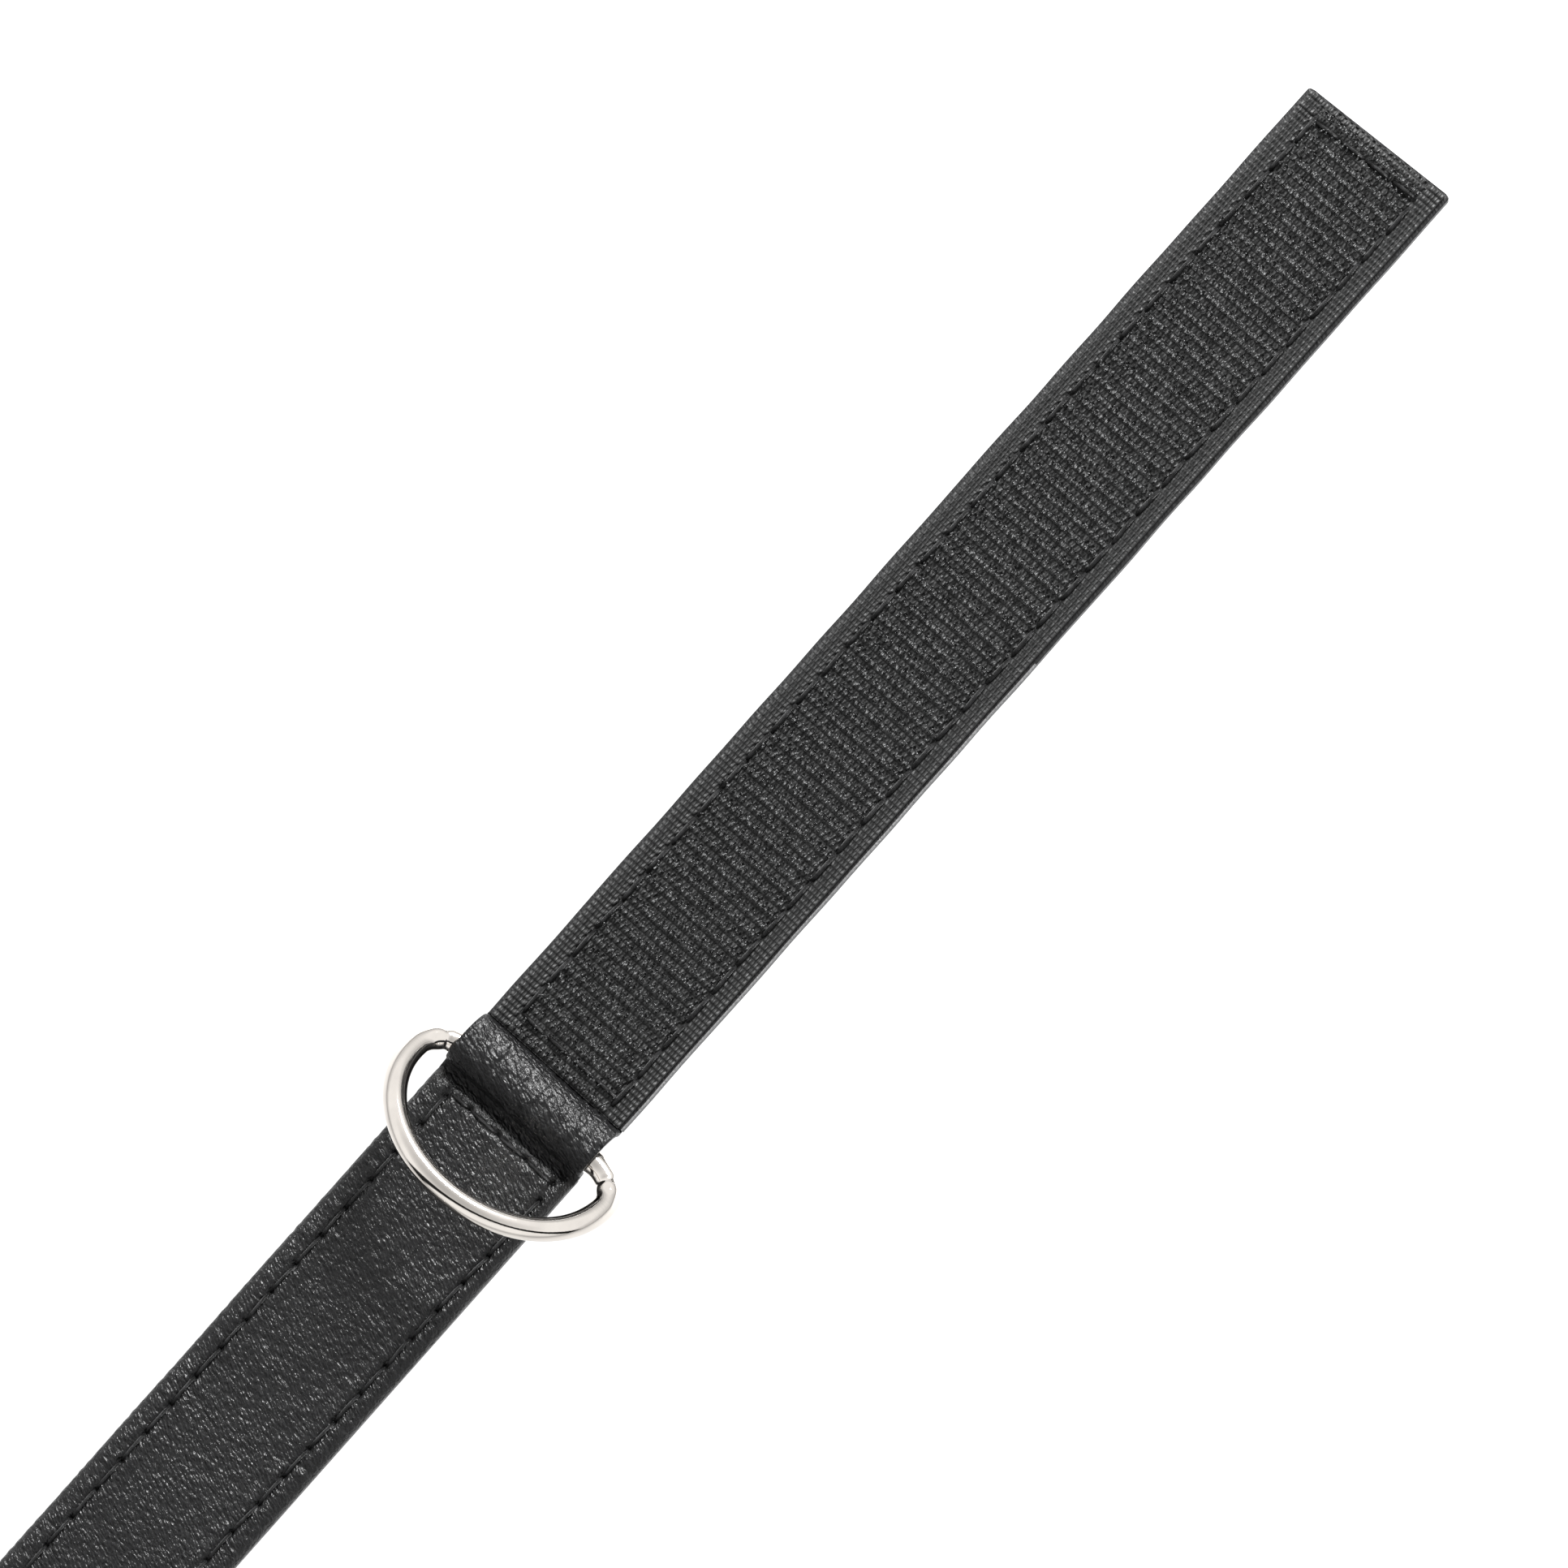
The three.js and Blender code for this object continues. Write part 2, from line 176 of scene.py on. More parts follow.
@dataclass(frozen=True)
class Ripple:
    """A smooth, repeatable unevenness made of a few waves.

    Attributes:
        seed: picks the waves.
        low: shortest wavelength in mm.
        high: longest wavelength in mm.
        count: how many waves.
        slant: how much the waves lean over the width.
    """

    seed: int
    low: float
    high: float
    count: int = 12
    slant: float = 1.0

    def at(self, x: Array, y: Array) -> Array:
        """Return the height, about -1 to 1, at the given places.

        Args:
            x: places along the strap in mm.
            y: places across it in mm.

        Returns:
            One value for each place.
        """
        rng = np.random.default_rng(self.seed)
        total = np.zeros_like(x)
        for _ in range(self.count):
            length = rng.uniform(self.low, self.high)
            angle = rng.uniform(-1, 1) * self.slant
            phase = rng.uniform(0, 2 * math.pi)
            across = x * math.cos(angle) + y * math.sin(angle)
            total += np.sin(2 * math.pi * across / length + phase)
        return total / math.sqrt(self.count / 2) / 1.6


# Slow swelling, puckers on the rims and where they are strong, and creases of the leather.
SWELL = Ripple(3, 14.0, 40.0, 8, 1.4)
PUCKER = Ripple(5, 0.9, 2.2, 16, 0.25)
PUCKER_MASK = Ripple(7, 4.0, 9.0, 6, 0.1)
CREASE = Ripple(11, 1.2, 3.5, 18, 1.5)


def row_y(x: Array, side: int) -> Array:
    """Return where a top-stitch row runs across the neck band.

    Args:
        x: places along the strap in mm.
        side: 1 for the +Y row, -1 for the -Y row.

    Returns:
        The row's Y in mm at each place.
    """
    x = np.asarray(x, float)
    if side > 0:
        return HALF_W - 2.9 + 0.08 * np.sin(x / 17.0)
    # The -Y row draws near to the edge on both sides of the band's middle.
    near = np.clip(x / 66.0, 0, 1)
    far = np.clip(-x / 60.0, 0, 1)
    return -(HALF_W - 3.0 + 1.4 * near + 0.4 * far) + 0.08 * np.sin(x / 23.0)


def needle_phase(x: Array) -> Array:
    """Return the signed distance in mm from each place to the nearest needle hole of a row."""
    return (np.asarray(x, float) + STITCH / 2) % STITCH - STITCH / 2


def seam_dent(away: Array, hole: Array) -> Array:
    """Return how deep a sewn row presses the leather.

    Args:
        away: distances from the row in mm.
        hole: distances from the nearest needle hole along the row in mm.

    Returns:
        The depth in mm at each place.
    """
    groove = (away / GROOVE_WIDE) ** 2
    return GROOVE_DEEP * np.exp(-groove) + HOLE_DEEP * np.exp(-groove - (hole / HOLE_WIDE) ** 2)


def band_relief(x: Array, y: Array, cross: tuple[float, ...]) -> Array:
    """Return how far sewn leather stands above or below its plain face.

    Args:
        x: places along the strap in mm.
        y: places across it in mm.
        cross: X of the stitched rows that run across the strap.

    Returns:
        The height in mm at each place.
    """
    out = 0.06 * SWELL.at(x, y) + 0.018 * CREASE.at(x, y)
    edge = np.zeros_like(out)
    for side in (1, -1):
        away = (y - row_y(x, side)) * side
        hole = needle_phase(x + (0 if side > 0 else ROW_SHIFT))
        out -= seam_dent(away, hole)
        puff = 0.6 + 0.4 * np.cos(2 * math.pi * hole / STITCH)
        out += 0.10 * np.exp(-(((np.abs(away) - 0.85) / 0.5) ** 2)) * puff
        edge = np.maximum(edge, np.clip(away / 0.6, 0, 1))
    pull = np.clip(0.55 + 0.6 * PUCKER_MASK.at(x, y), 0.05, 1)
    out += edge * 0.08 * pull * PUCKER.at(x, y)
    for row_x in cross:
        inside = (y < row_y(x, 1)) & (y > row_y(x, -1))
        out -= np.where(inside, seam_dent(x - row_x, needle_phase(y)), 0)
    return out


# ---------------------------------------------------------------- modelling


def clear_selection() -> None:
    """Leave edit mode and deselect everything."""
    if bpy.context.mode != "OBJECT":
        bpy.ops.object.mode_set(mode="OBJECT")
    bpy.ops.object.select_all(action="DESELECT")


def vertices(obj: bpy.types.Object) -> Array:
    """Return an object's vertices as rows of X, Y, Z."""
    co = np.empty(len(obj.data.vertices) * 3)
    obj.data.vertices.foreach_get("co", co)
    return co.reshape(-1, 3)


def move_vertices(obj: bpy.types.Object, co: Array) -> None:
    """Give an object's vertices new places."""
    obj.data.vertices.foreach_set("co", co.astype(np.float32).ravel())
    obj.data.update()


def close_up(obj: bpy.types.Object, angle: float = 40.0, fill: bool = True) -> None:
    """Merge doubles, cap open ends, turn faces outward and shade smoothly.

    Args:
        obj: the mesh object.
        angle: edges sharper than this many degrees stay crisp.
        fill: whether open ends are capped.
    """
    clear_selection()
    bpy.context.view_layer.objects.active = obj
    obj.select_set(True)
    bpy.ops.object.mode_set(mode="EDIT")
    bpy.ops.mesh.select_all(action="SELECT")
    bpy.ops.mesh.remove_doubles(threshold=2e-6)
    if fill:
        bpy.ops.mesh.select_all(action="DESELECT")
        bpy.ops.mesh.select_non_manifold(extend=False, use_wire=False, use_multi_face=False,
                                         use_non_contiguous=False, use_verts=False)
        bpy.ops.mesh.fill_holes(sides=0)
        bpy.ops.mesh.select_all(action="SELECT")
    bpy.ops.mesh.normals_make_consistent(inside=False)
    bpy.ops.object.mode_set(mode="OBJECT")
    bpy.ops.object.shade_smooth_by_angle(angle=math.radians(angle))
    obj.select_set(False)


def skin_from_grid(name: str, steps: int, around: int,
                   place: Callable[[Array, Array], Array]) -> bpy.types.Object:
    """Wrap a grid round a changing section and cap its ends.

    Args:
        name: the piece's name.
        steps: cells along the piece.
        around: cells round the section.
        place: takes the share along (0 to 1) and the step round, and returns places in mm.

    Returns:
        The new object.
    """
    clear_selection()
    bpy.ops.mesh.primitive_grid_add(x_subdivisions=steps, y_subdivisions=around, size=1)
    obj = bpy.context.active_object
    obj.name = obj.data.name = name
    co = vertices(obj)
    share = co[:, 0] + 0.5
    step = np.rint((co[:, 1] + 0.5) * around).astype(int)
    move_vertices(obj, place(share, step) * MM)
    close_up(obj)
    return obj


def strap_skin(name: str, ends: tuple[float, float], cell: float, section: Array,
               shape: Callable[..., tuple[Array, Array, Array]]) -> bpy.types.Object:
    """Draw a section along the strap and shape it.

    Args:
        name: the piece's name.
        ends: lowest and highest X in mm.
        cell: length of a mesh cell along the strap in mm.
        section: Y and Z in mm of the closed section.
        shape: takes plain X, Y, Z in mm and the step round the section, and returns X, Y, Z.

    Returns:
        The new object.
    """
    def place(share: Array, step: Array) -> Array:
        """Return shaped places in mm."""
        k = step % len(section)
        x = ends[0] + share * (ends[1] - ends[0])
        return np.stack(shape(x, section[k, 0], section[k, 1], k), 1)

    return skin_from_grid(name, round((ends[1] - ends[0]) / cell), len(section), place)


def section_normals(section: Array) -> Array:
    """Return outward normals of a closed section whose points run anticlockwise."""
    ahead = np.roll(section, -1, 0) - np.roll(section, 1, 0)
    normal = np.stack([ahead[:, 1], -ahead[:, 0]], 1)
    return normal / np.maximum(np.linalg.norm(normal, axis=1, keepdims=True), 1e-9)


def arc_points(cy: float, cz: float, r: float, start: float, end: float,
               steps: int) -> list[tuple[float, float]]:
    """Return points on an arc, both ends included; angles are in degrees."""
    turns = [math.radians(start + (end - start) * i / steps) for i in range(steps + 1)]
    return [(cy + r * math.cos(turn), cz + r * math.sin(turn)) for turn in turns]


def line_points(a: tuple[float, float], b: tuple[float, float],
                steps: int) -> list[tuple[float, float]]:
    """Return points inside a straight line, its ends left out."""
    shares = [i / steps for i in range(1, steps)]
    return [(a[0] + (b[0] - a[0]) * share, a[1] + (b[1] - a[1]) * share) for share in shares]


def slab_section(half: float, low: float, high: float, r: float, across: int) -> Array:
    """Return a flat section with rounded upper edges, anticlockwise from its lower right corner."""
    pts = [(half - 0.08, low), (half, low + 0.08)]
    pts += arc_points(half - r, high - r, r, 0, 90, 5)
    pts += line_points((half - r, high), (-half + r, high), across)
    pts += arc_points(-half + r, high - r, r, 90, 180, 5)
    pts += [(-half, low + 0.08), (-half + 0.08, low)]
    pts += line_points((-half + 0.08, low), (half - 0.08, low), 12)
    return np.array(pts)


def band_section() -> Array:
    """Return the neck band's section: a crowned face turned down round both edges."""
    pts = [(8.8, 0.95), (8.85, 0.2)]
    pts += arc_points(HALF_W - 0.75, 0.92, 0.75, -80, -10, 4)
    pts += arc_points(HALF_W - 1.25, FACE_TOP - 1.3, 1.25, 5, 80, 7)
    pts += line_points((HALF_W - 1.03, FACE_TOP - 0.05), (-HALF_W + 1.03, FACE_TOP - 0.05), 72)
    pts += arc_points(-HALF_W + 1.25, FACE_TOP - 1.3, 1.25, 100, 175, 7)
    pts += arc_points(-HALF_W + 0.75, 0.92, 0.75, 190, 260, 4)
    pts += [(-8.85, 0.2), (-8.8, 0.95)]
    pts += line_points((-8.8, 0.95), (8.8, 0.95), 8)
    return np.array(pts)


# ---------------------------------------------------------------- finishes


def new_group(name: str, inputs: dict[str, float], outputs: tuple[str, ...]) -> bpy.types.NodeTree:
    """Make an empty shader group with a Vector input, number inputs and number outputs."""
    tree = bpy.data.node_groups.new(name, "ShaderNodeTree")
    tree.interface.new_socket("Vector", in_out="INPUT", socket_type="NodeSocketVector")
    for key, value in inputs.items():
        socket = tree.interface.new_socket(key, in_out="INPUT", socket_type="NodeSocketFloat")
        socket.default_value = value
    for key in outputs:
        tree.interface.new_socket(key, in_out="OUTPUT", socket_type="NodeSocketFloat")
    tree.nodes.new("NodeGroupInput").name = "in"
    tree.nodes.new("NodeGroupOutput").name = "out"
    return tree


class Net:
    """Short calls for adding and joining shader nodes in one tree."""

    def __init__(self, tree: bpy.types.NodeTree) -> None:
        """Keep the tree that nodes are added to."""
        self.tree = tree

    def node(self, kind: str, **values: object) -> bpy.types.Node:
        """Add a node and set its properties or input values.

        Args:
            kind: the node's type name.
            **values: a property's value, or an input socket's value or source socket.

        Returns:
            The new node.
        """
        made = self.tree.nodes.new(kind)
        for key, value in values.items():
            if key.startswith("i_"):
                name = key[2:].replace("_", " ")
                socket = made.inputs[int(name)] if name.isdigit() else made.inputs[name]
                if isinstance(value, bpy.types.NodeSocket):
                    self.tree.links.new(value, socket)
                else:
                    socket.default_value = value
            else:
                setattr(made, key, value)
        return made

    def math(self, operation: str, a: object, b: object = 0.0) -> bpy.types.NodeSocket:
        """Return the result of a Math node on two numbers or sockets."""
        return self.node("ShaderNodeMath", operation=operation, i_0=a, i_1=b).outputs[0]

    def span(self, value: bpy.types.NodeSocket, low: float, high: float, to_low: float = 0.0,
             to_high: float = 1.0) -> bpy.types.NodeSocket:
        """Return a value mapped from one range to another and clamped."""
        return self.node("ShaderNodeMapRange", i_0=value, i_1=low, i_2=high, i_3=to_low,
                         i_4=to_high).outputs[0]

    def tint(self, shader: bpy.types.Node, mask: bpy.types.NodeSocket, low: Colour,
             high: Colour) -> None:
        """Colour a shader: low where the mask is 0, high where it is 1."""
        mixed = self.node("ShaderNodeMix", data_type="RGBA", i_0=mask, i_6=(*low, 1),
                          i_7=(*high, 1))
        self.tree.links.new(mixed.outputs[2], shader.inputs["Base Color"])

    def emboss(self, shader: bpy.types.Node, height: bpy.types.NodeSocket, depth: float,
               strength: float = 1.0) -> None:
        """Raise a shader's surface by a height times a depth in metres."""
        bump = self.node("ShaderNodeBump", i_Strength=strength, i_Distance=depth, i_Height=height)
        self.tree.links.new(bump.outputs[0], shader.inputs["Normal"])


def grain_group() -> bpy.types.NodeTree:
    """Return the leather grain group: pebbled height, fine pores and slow changes of tone."""
    tree = new_group("hide_grain", {"Pebble": 2800.0, "Slant": 0.38}, ("Height", "Pores", "Tone"))
    net, src = Net(tree), tree.nodes["in"].outputs
    turned = net.node("ShaderNodeVectorRotate", rotation_type="Z_AXIS", i_Vector=src["Vector"],
                      i_Angle=0.5)
    parts = net.node("ShaderNodeSeparateXYZ", i_0=turned.outputs[0])
    longer = net.math("MULTIPLY", parts.outputs[1], src["Slant"])
    drawn = net.node("ShaderNodeCombineXYZ", i_0=parts.outputs[0], i_1=longer, i_2=parts.outputs[2])
    warp = net.node("ShaderNodeTexNoise", i_Vector=src["Vector"], i_Scale=700.0, i_Detail=2.0)
    vec = net.node("ShaderNodeMix", data_type="VECTOR", i_0=0.0003, i_4=drawn.outputs[0],
                   i_5=warp.outputs["Color"]).outputs[1]
    cells = net.node("ShaderNodeTexVoronoi", feature="SMOOTH_F1", i_Vector=vec,
                     i_Scale=src["Pebble"], i_Smoothness=0.35)
    coarser, finer = (net.math("MULTIPLY", src["Pebble"], share) for share in (0.5, 1.5))
    folds = net.node("ShaderNodeTexNoise", i_Vector=vec, i_Scale=coarser, i_Detail=2.0,
                     i_Distortion=0.6)
    fine = net.node("ShaderNodeTexNoise", i_Vector=vec, i_Scale=finer, i_Detail=2.0)
    slow = net.node("ShaderNodeTexNoise", i_Vector=src["Vector"], i_Scale=140.0, i_Detail=4.0)
    pebble = net.math("SUBTRACT", 1.0, cells.outputs["Distance"])
    body = net.math("ADD", net.math("MULTIPLY", pebble, 0.5),
                    net.math("MULTIPLY", folds.outputs[0], 0.9))
    height = net.math("ADD", body, net.math("MULTIPLY", fine.outputs[0], 0.7))
    height = net.math("MULTIPLY", height, net.span(slow.outputs[0], 0.36, 0.6, 0.82, 1.08))
    tree.links.new(height, tree.nodes["out"].inputs["Height"])
    tree.links.new(net.span(fine.outputs[0], 0.35, 0.62), tree.nodes["out"].inputs["Pores"])
    tree.links.new(slow.outputs[0], tree.nodes["out"].inputs["Tone"])
    return tree


def weave_group() -> bpy.types.NodeTree:
    """Return the plain weave group: height of crossing yarns and a per-yarn tone."""
    tree = new_group("plain_weave", {"Warp": 2600.0, "Weft": 1330.0}, ("Height", "Tone"))
    net, src = Net(tree), tree.nodes["in"].outputs
    parts = net.node("ShaderNodeSeparateXYZ", i_0=src["Vector"])
    across = net.math("MULTIPLY", parts.outputs[1], net.math("MULTIPLY", src["Warp"], math.pi))
    along = net.math("MULTIPLY", parts.outputs[0], net.math("MULTIPLY", src["Weft"], math.pi))
    a = net.math("ABSOLUTE", net.math("SINE", across))
    b = net.math("ABSOLUTE", net.math("SINE", along))
    over = net.math("MULTIPLY", net.math("SINE", across), net.math("SINE", along))
    height = net.math("ADD", net.math("MULTIPLY", a, b), net.math("MULTIPLY", over, 0.35))
    noise = net.node("ShaderNodeTexNoise", i_Vector=src["Vector"], i_Scale=1900.0, i_Detail=3.0)
    tree.links.new(height, tree.nodes["out"].inputs["Height"])
    tree.links.new(noise.outputs[0], tree.nodes["out"].inputs["Tone"])
    return tree


@dataclass(frozen=True)
class Leather:
    """Pebbled leather.

    Attributes:
        name: the material's name.
        low: colour in the creases.
        high: colour on the worn high spots.
        rough: roughness in the creases and on the high spots.
        bump: depth of the grain in metres.
        pebble: grains in a metre.
        sheen: level of the surface reflection.
    """

    name: str
    low: Colour
    high: Colour
    rough: tuple[float, float] = (0.6, 0.4)
    bump: float = 0.00012
    pebble: float = 2800.0
    sheen: float = 0.38

    def build(self, groups: dict[str, bpy.types.NodeTree]) -> bpy.types.Material:
        """Return the material, from the shared effect groups by name."""
        mat, net, shader = start_material(self.name)
        at = net.node("ShaderNodeTexCoord").outputs["Object"]
        grain = net.node("ShaderNodeGroup", node_tree=groups["grain"], i_Vector=at,
                         i_Pebble=self.pebble)
        worn = net.span(grain.outputs["Tone"], 0.3, 0.7, 0.5, 1.0)
        mask = net.math("MULTIPLY", grain.outputs["Pores"], worn)
        net.tint(shader, mask, self.low, self.high)
        net.tree.links.new(net.span(mask, 0, 1, *self.rough), shader.inputs["Roughness"])
        shader.inputs["Specular IOR Level"].default_value = self.sheen
        net.emboss(shader, grain.outputs["Height"], self.bump)
        return mat


@dataclass(frozen=True)
class Woven:
    """Woven synthetic tape.

    Attributes:
        name: the material's name.
        low: colour between the yarns, a painted shade.
        high: colour on top of the yarns, a painted highlight.
        bump: depth of the weave in metres.
        rough: roughness between and on top of the yarns.
    """

    name: str
    low: Colour
    high: Colour
    bump: float = 0.00012
    rough: tuple[float, float] = (0.7, 0.38)

    def build(self, groups: dict[str, bpy.types.NodeTree]) -> bpy.types.Material:
        """Return the material, from the shared effect groups by name."""
        mat, net, shader = start_material(self.name)
        at = net.node("ShaderNodeTexCoord").outputs["Object"]
        weave = net.node("ShaderNodeGroup", node_tree=groups["weave"], i_Vector=at)
        # Painted shade between the yarns and a painted highlight on their tops, from the weave's
        # height, times a tone that changes at random.
        mask = net.math("MULTIPLY", net.span(weave.outputs["Height"], 0.1, 1.0),
                        net.span(weave.outputs["Tone"], 0.3, 0.7, 0.35, 1.0))
        net.tint(shader, mask, self.low, self.high)
        net.tree.links.new(net.span(mask, 0, 1, *self.rough), shader.inputs["Roughness"])
        net.emboss(shader, weave.outputs["Height"], self.bump)
        return mat


@dataclass(frozen=True)
class Filament:
    """Yarn, thread or hook monofilament, with tone that changes from strand to strand.

    Attributes:
        name: the material's name.
        low: darkest colour.
        high: lightest colour.
        rough: roughness.
        twist: turns of the yarn in one unit of its UV map, or 0 for a plain strand.
        speckle: changes of tone in a metre.
    """

    name: str
    low: Colour
    high: Colour
    rough: float
    twist: float = 0.0
    speckle: float = 1400.0

    def build(self, groups: dict[str, bpy.types.NodeTree]) -> bpy.types.Material:
        """Return the material; it needs none of the shared effect groups."""
        mat, net, shader = start_material(self.name)
        coords = net.node("ShaderNodeTexCoord")
        noise = net.node("ShaderNodeTexNoise", i_Vector=coords.outputs["Object"],
                         i_Scale=self.speckle, i_Detail=2.0)
        net.tint(shader, net.span(noise.outputs[0], 0.42, 0.66), self.low, self.high)
        shader.inputs["Roughness"].default_value = self.rough
        if self.twist:
            wave = net.node("ShaderNodeTexWave", wave_type="BANDS", bands_direction="DIAGONAL",
                            i_Vector=coords.outputs["UV"], i_Scale=self.twist)
            net.emboss(shader, wave.outputs["Fac"], 0.00012, 0.9)
        return mat


@dataclass(frozen=True)
class Plated:
    """Polished plated metal with faint handling marks.

    Attributes:
        name: the material's name.
        colour: the plating's colour.
    """

    name: str
    colour: Colour

    def build(self, groups: dict[str, bpy.types.NodeTree]) -> bpy.types.Material:
        """Return the material; it needs none of the shared effect groups."""
        mat, net, shader = start_material(self.name)
        at = net.node("ShaderNodeTexCoord").outputs["Object"]
        haze = net.node("ShaderNodeTexNoise", i_Vector=at, i_Scale=320.0, i_Detail=5.0)
        drawn = net.node("ShaderNodeMapping", i_Vector=at, i_Scale=(1, 0.06, 1))
        scratch = net.node("ShaderNodeTexNoise", i_Vector=drawn.outputs[0], i_Scale=5200.0,
                           i_Detail=2.0)
        dim = tuple(0.9 * c for c in self.colour)
        net.tint(shader, net.span(haze.outputs[0], 0.3, 0.7), dim, self.colour)
        net.tree.links.new(net.span(haze.outputs[0], 0.3, 0.75, 0.03, 0.08),
                           shader.inputs["Roughness"])
        shader.inputs["Metallic"].default_value = 1.0
        net.emboss(shader, scratch.outputs[0], 0.00004, 0.08)
        return mat


def start_material(name: str) -> tuple[bpy.types.Material, Net, bpy.types.Node]:
    """Return a new node material, its net and its Principled shader."""
    mat = bpy.data.materials.new(name)
    mat.use_nodes = True
    return mat, Net(mat.node_tree), mat.node_tree.nodes["Principled BSDF"]


class Finishes:
    """Every finish of the collar, built once."""

    def __init__(self) -> None:
        """Build the shared groups and then the materials."""
        groups = {"grain": grain_group(), "weave": weave_group()}
        crease, worn = (0.004, 0.004, 0.0042), (0.010, 0.010, 0.0105)
        specs = {
            "nappa": Leather("nappa", crease, worn, (0.36, 0.24), 0.00028),
            "roll": Leather("roll_nappa", crease, worn, (0.36, 0.24), 0.00028, 2400.0, 0.28),
            "lining": Leather("lining_hide", (0.020, 0.020, 0.021), (0.042, 0.042, 0.043),
                              (0.8, 0.65), 0.00008, 2600.0),
            "backing": Leather("backing_hide", (0.008, 0.008, 0.008), (0.02, 0.02, 0.021),
                               (0.6, 0.45)),
            "cut_edge": Leather("cut_edge", (0.16, 0.16, 0.162), (0.32, 0.32, 0.32), (0.9, 0.8),
                                0.00008, 4200.0),
            # The hook tape's low colour is painted shade between the yarns, its high colour a
            # painted highlight on their tops.
            "tape": Woven("hook_weave", (0.006, 0.006, 0.006), (0.06, 0.061, 0.061)),
            "hooks": Filament("hook_wire", (0.01, 0.01, 0.0105), (0.14, 0.142, 0.143), 0.22),
            "loops": Filament("loop_yarn", (0.006, 0.006, 0.007), (0.022, 0.022, 0.024), 0.6),
            "thread": Filament("sewing_thread", (0.005, 0.005, 0.005), (0.028, 0.028, 0.029), 0.4,
                               3.2),
            "nickel": Plated("plated_ring", (0.86, 0.81, 0.755)),
        }
        self.by_name = {key: spec.build(groups) for key, spec in specs.items()}

    def dress(self, obj: bpy.types.Object, *names: str) -> None:
        """Give an object its finishes, in slot order."""
        obj.data.materials.clear()
        for name in names:
            obj.data.materials.append(self.by_name[name])


# ---------------------------------------------------------------- joining to the frame


def bend_over(obj: bpy.types.Object, nodes: tuple[str, ...] = ()) -> None:
    """Bake a piece's transform and let it stand for CAD nodes.

    Args:
        obj: the finished piece.
        nodes: the CAD nodes that it stands for.
    """
    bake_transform(obj)
    finish_piece(obj, nodes)


def hold(obj: bpy.types.Object, body: str, nodes: tuple[str, ...] = ()) -> None:
    """Make a piece ride on one body and stand for CAD nodes."""
    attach(obj, body)
    finish_piece(obj, nodes)


def finish_piece(obj: bpy.types.Object, nodes: tuple[str, ...]) -> None:
    """Replace a piece's nodes and report it."""
    if nodes:
        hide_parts(*nodes)
    LOG.info("%s: %d faces", obj.name, len(obj.data.polygons))


# ---------------------------------------------------------------- repeated small shapes


@dataclass
class Swarm:
    """One small shape copied to many places as a single mesh.

    Attributes:
        name: the piece's name.
        base: the pattern piece.
        frames: for each copy, a 3 by 3 array that turns and stretches it, and its place in metres.
    """

    name: str
    base: bpy.types.Object
    frames: list[tuple[Array, Array]] = field(default_factory=list)

    def build(self) -> bpy.types.Object:
        """Return the joined copies and remove the pattern piece.

        Returns:
            One object holding every copy.
        """
        base = vertices(self.base)
        faces = [tuple(p.vertices) for p in self.base.data.polygons]
        uv = self.base.data.uv_layers.active
        corner_uv = np.array([tuple(d.uv) for d in uv.data]) if uv else None
        pts = np.concatenate([base @ turn.T + at for turn, at in self.frames])
        n = len(base)
        copies = range(len(self.frames))
        all_faces = [tuple(v + k * n for v in face) for k in copies for face in faces]
        mesh = bpy.data.meshes.new(self.name)
        mesh.from_pydata(pts.tolist(), [], all_faces)
        if corner_uv is not None:
            layer = mesh.uv_layers.new(name="UVMap")
            tiled = np.tile(corner_uv, (len(self.frames), 1)).astype(np.float32)
            layer.data.foreach_set("uv", tiled.ravel())
        obj = bpy.data.objects.new(self.name, mesh)
        bpy.context.scene.collection.objects.link(obj)
        clear_selection()
        bpy.context.view_layer.objects.active = obj
        obj.select_set(True)
        bpy.ops.object.shade_smooth()
        obj.select_set(False)
        bpy.data.objects.remove(self.base, do_unlink=True)
        return obj


def turn_z(angle: float) -> Array:
    """Return a rotation about Z as a 3 by 3 array."""
    c, s = math.cos(angle), math.sin(angle)
    return np.array([[c, -s, 0], [s, c, 0], [0, 0, 1]])


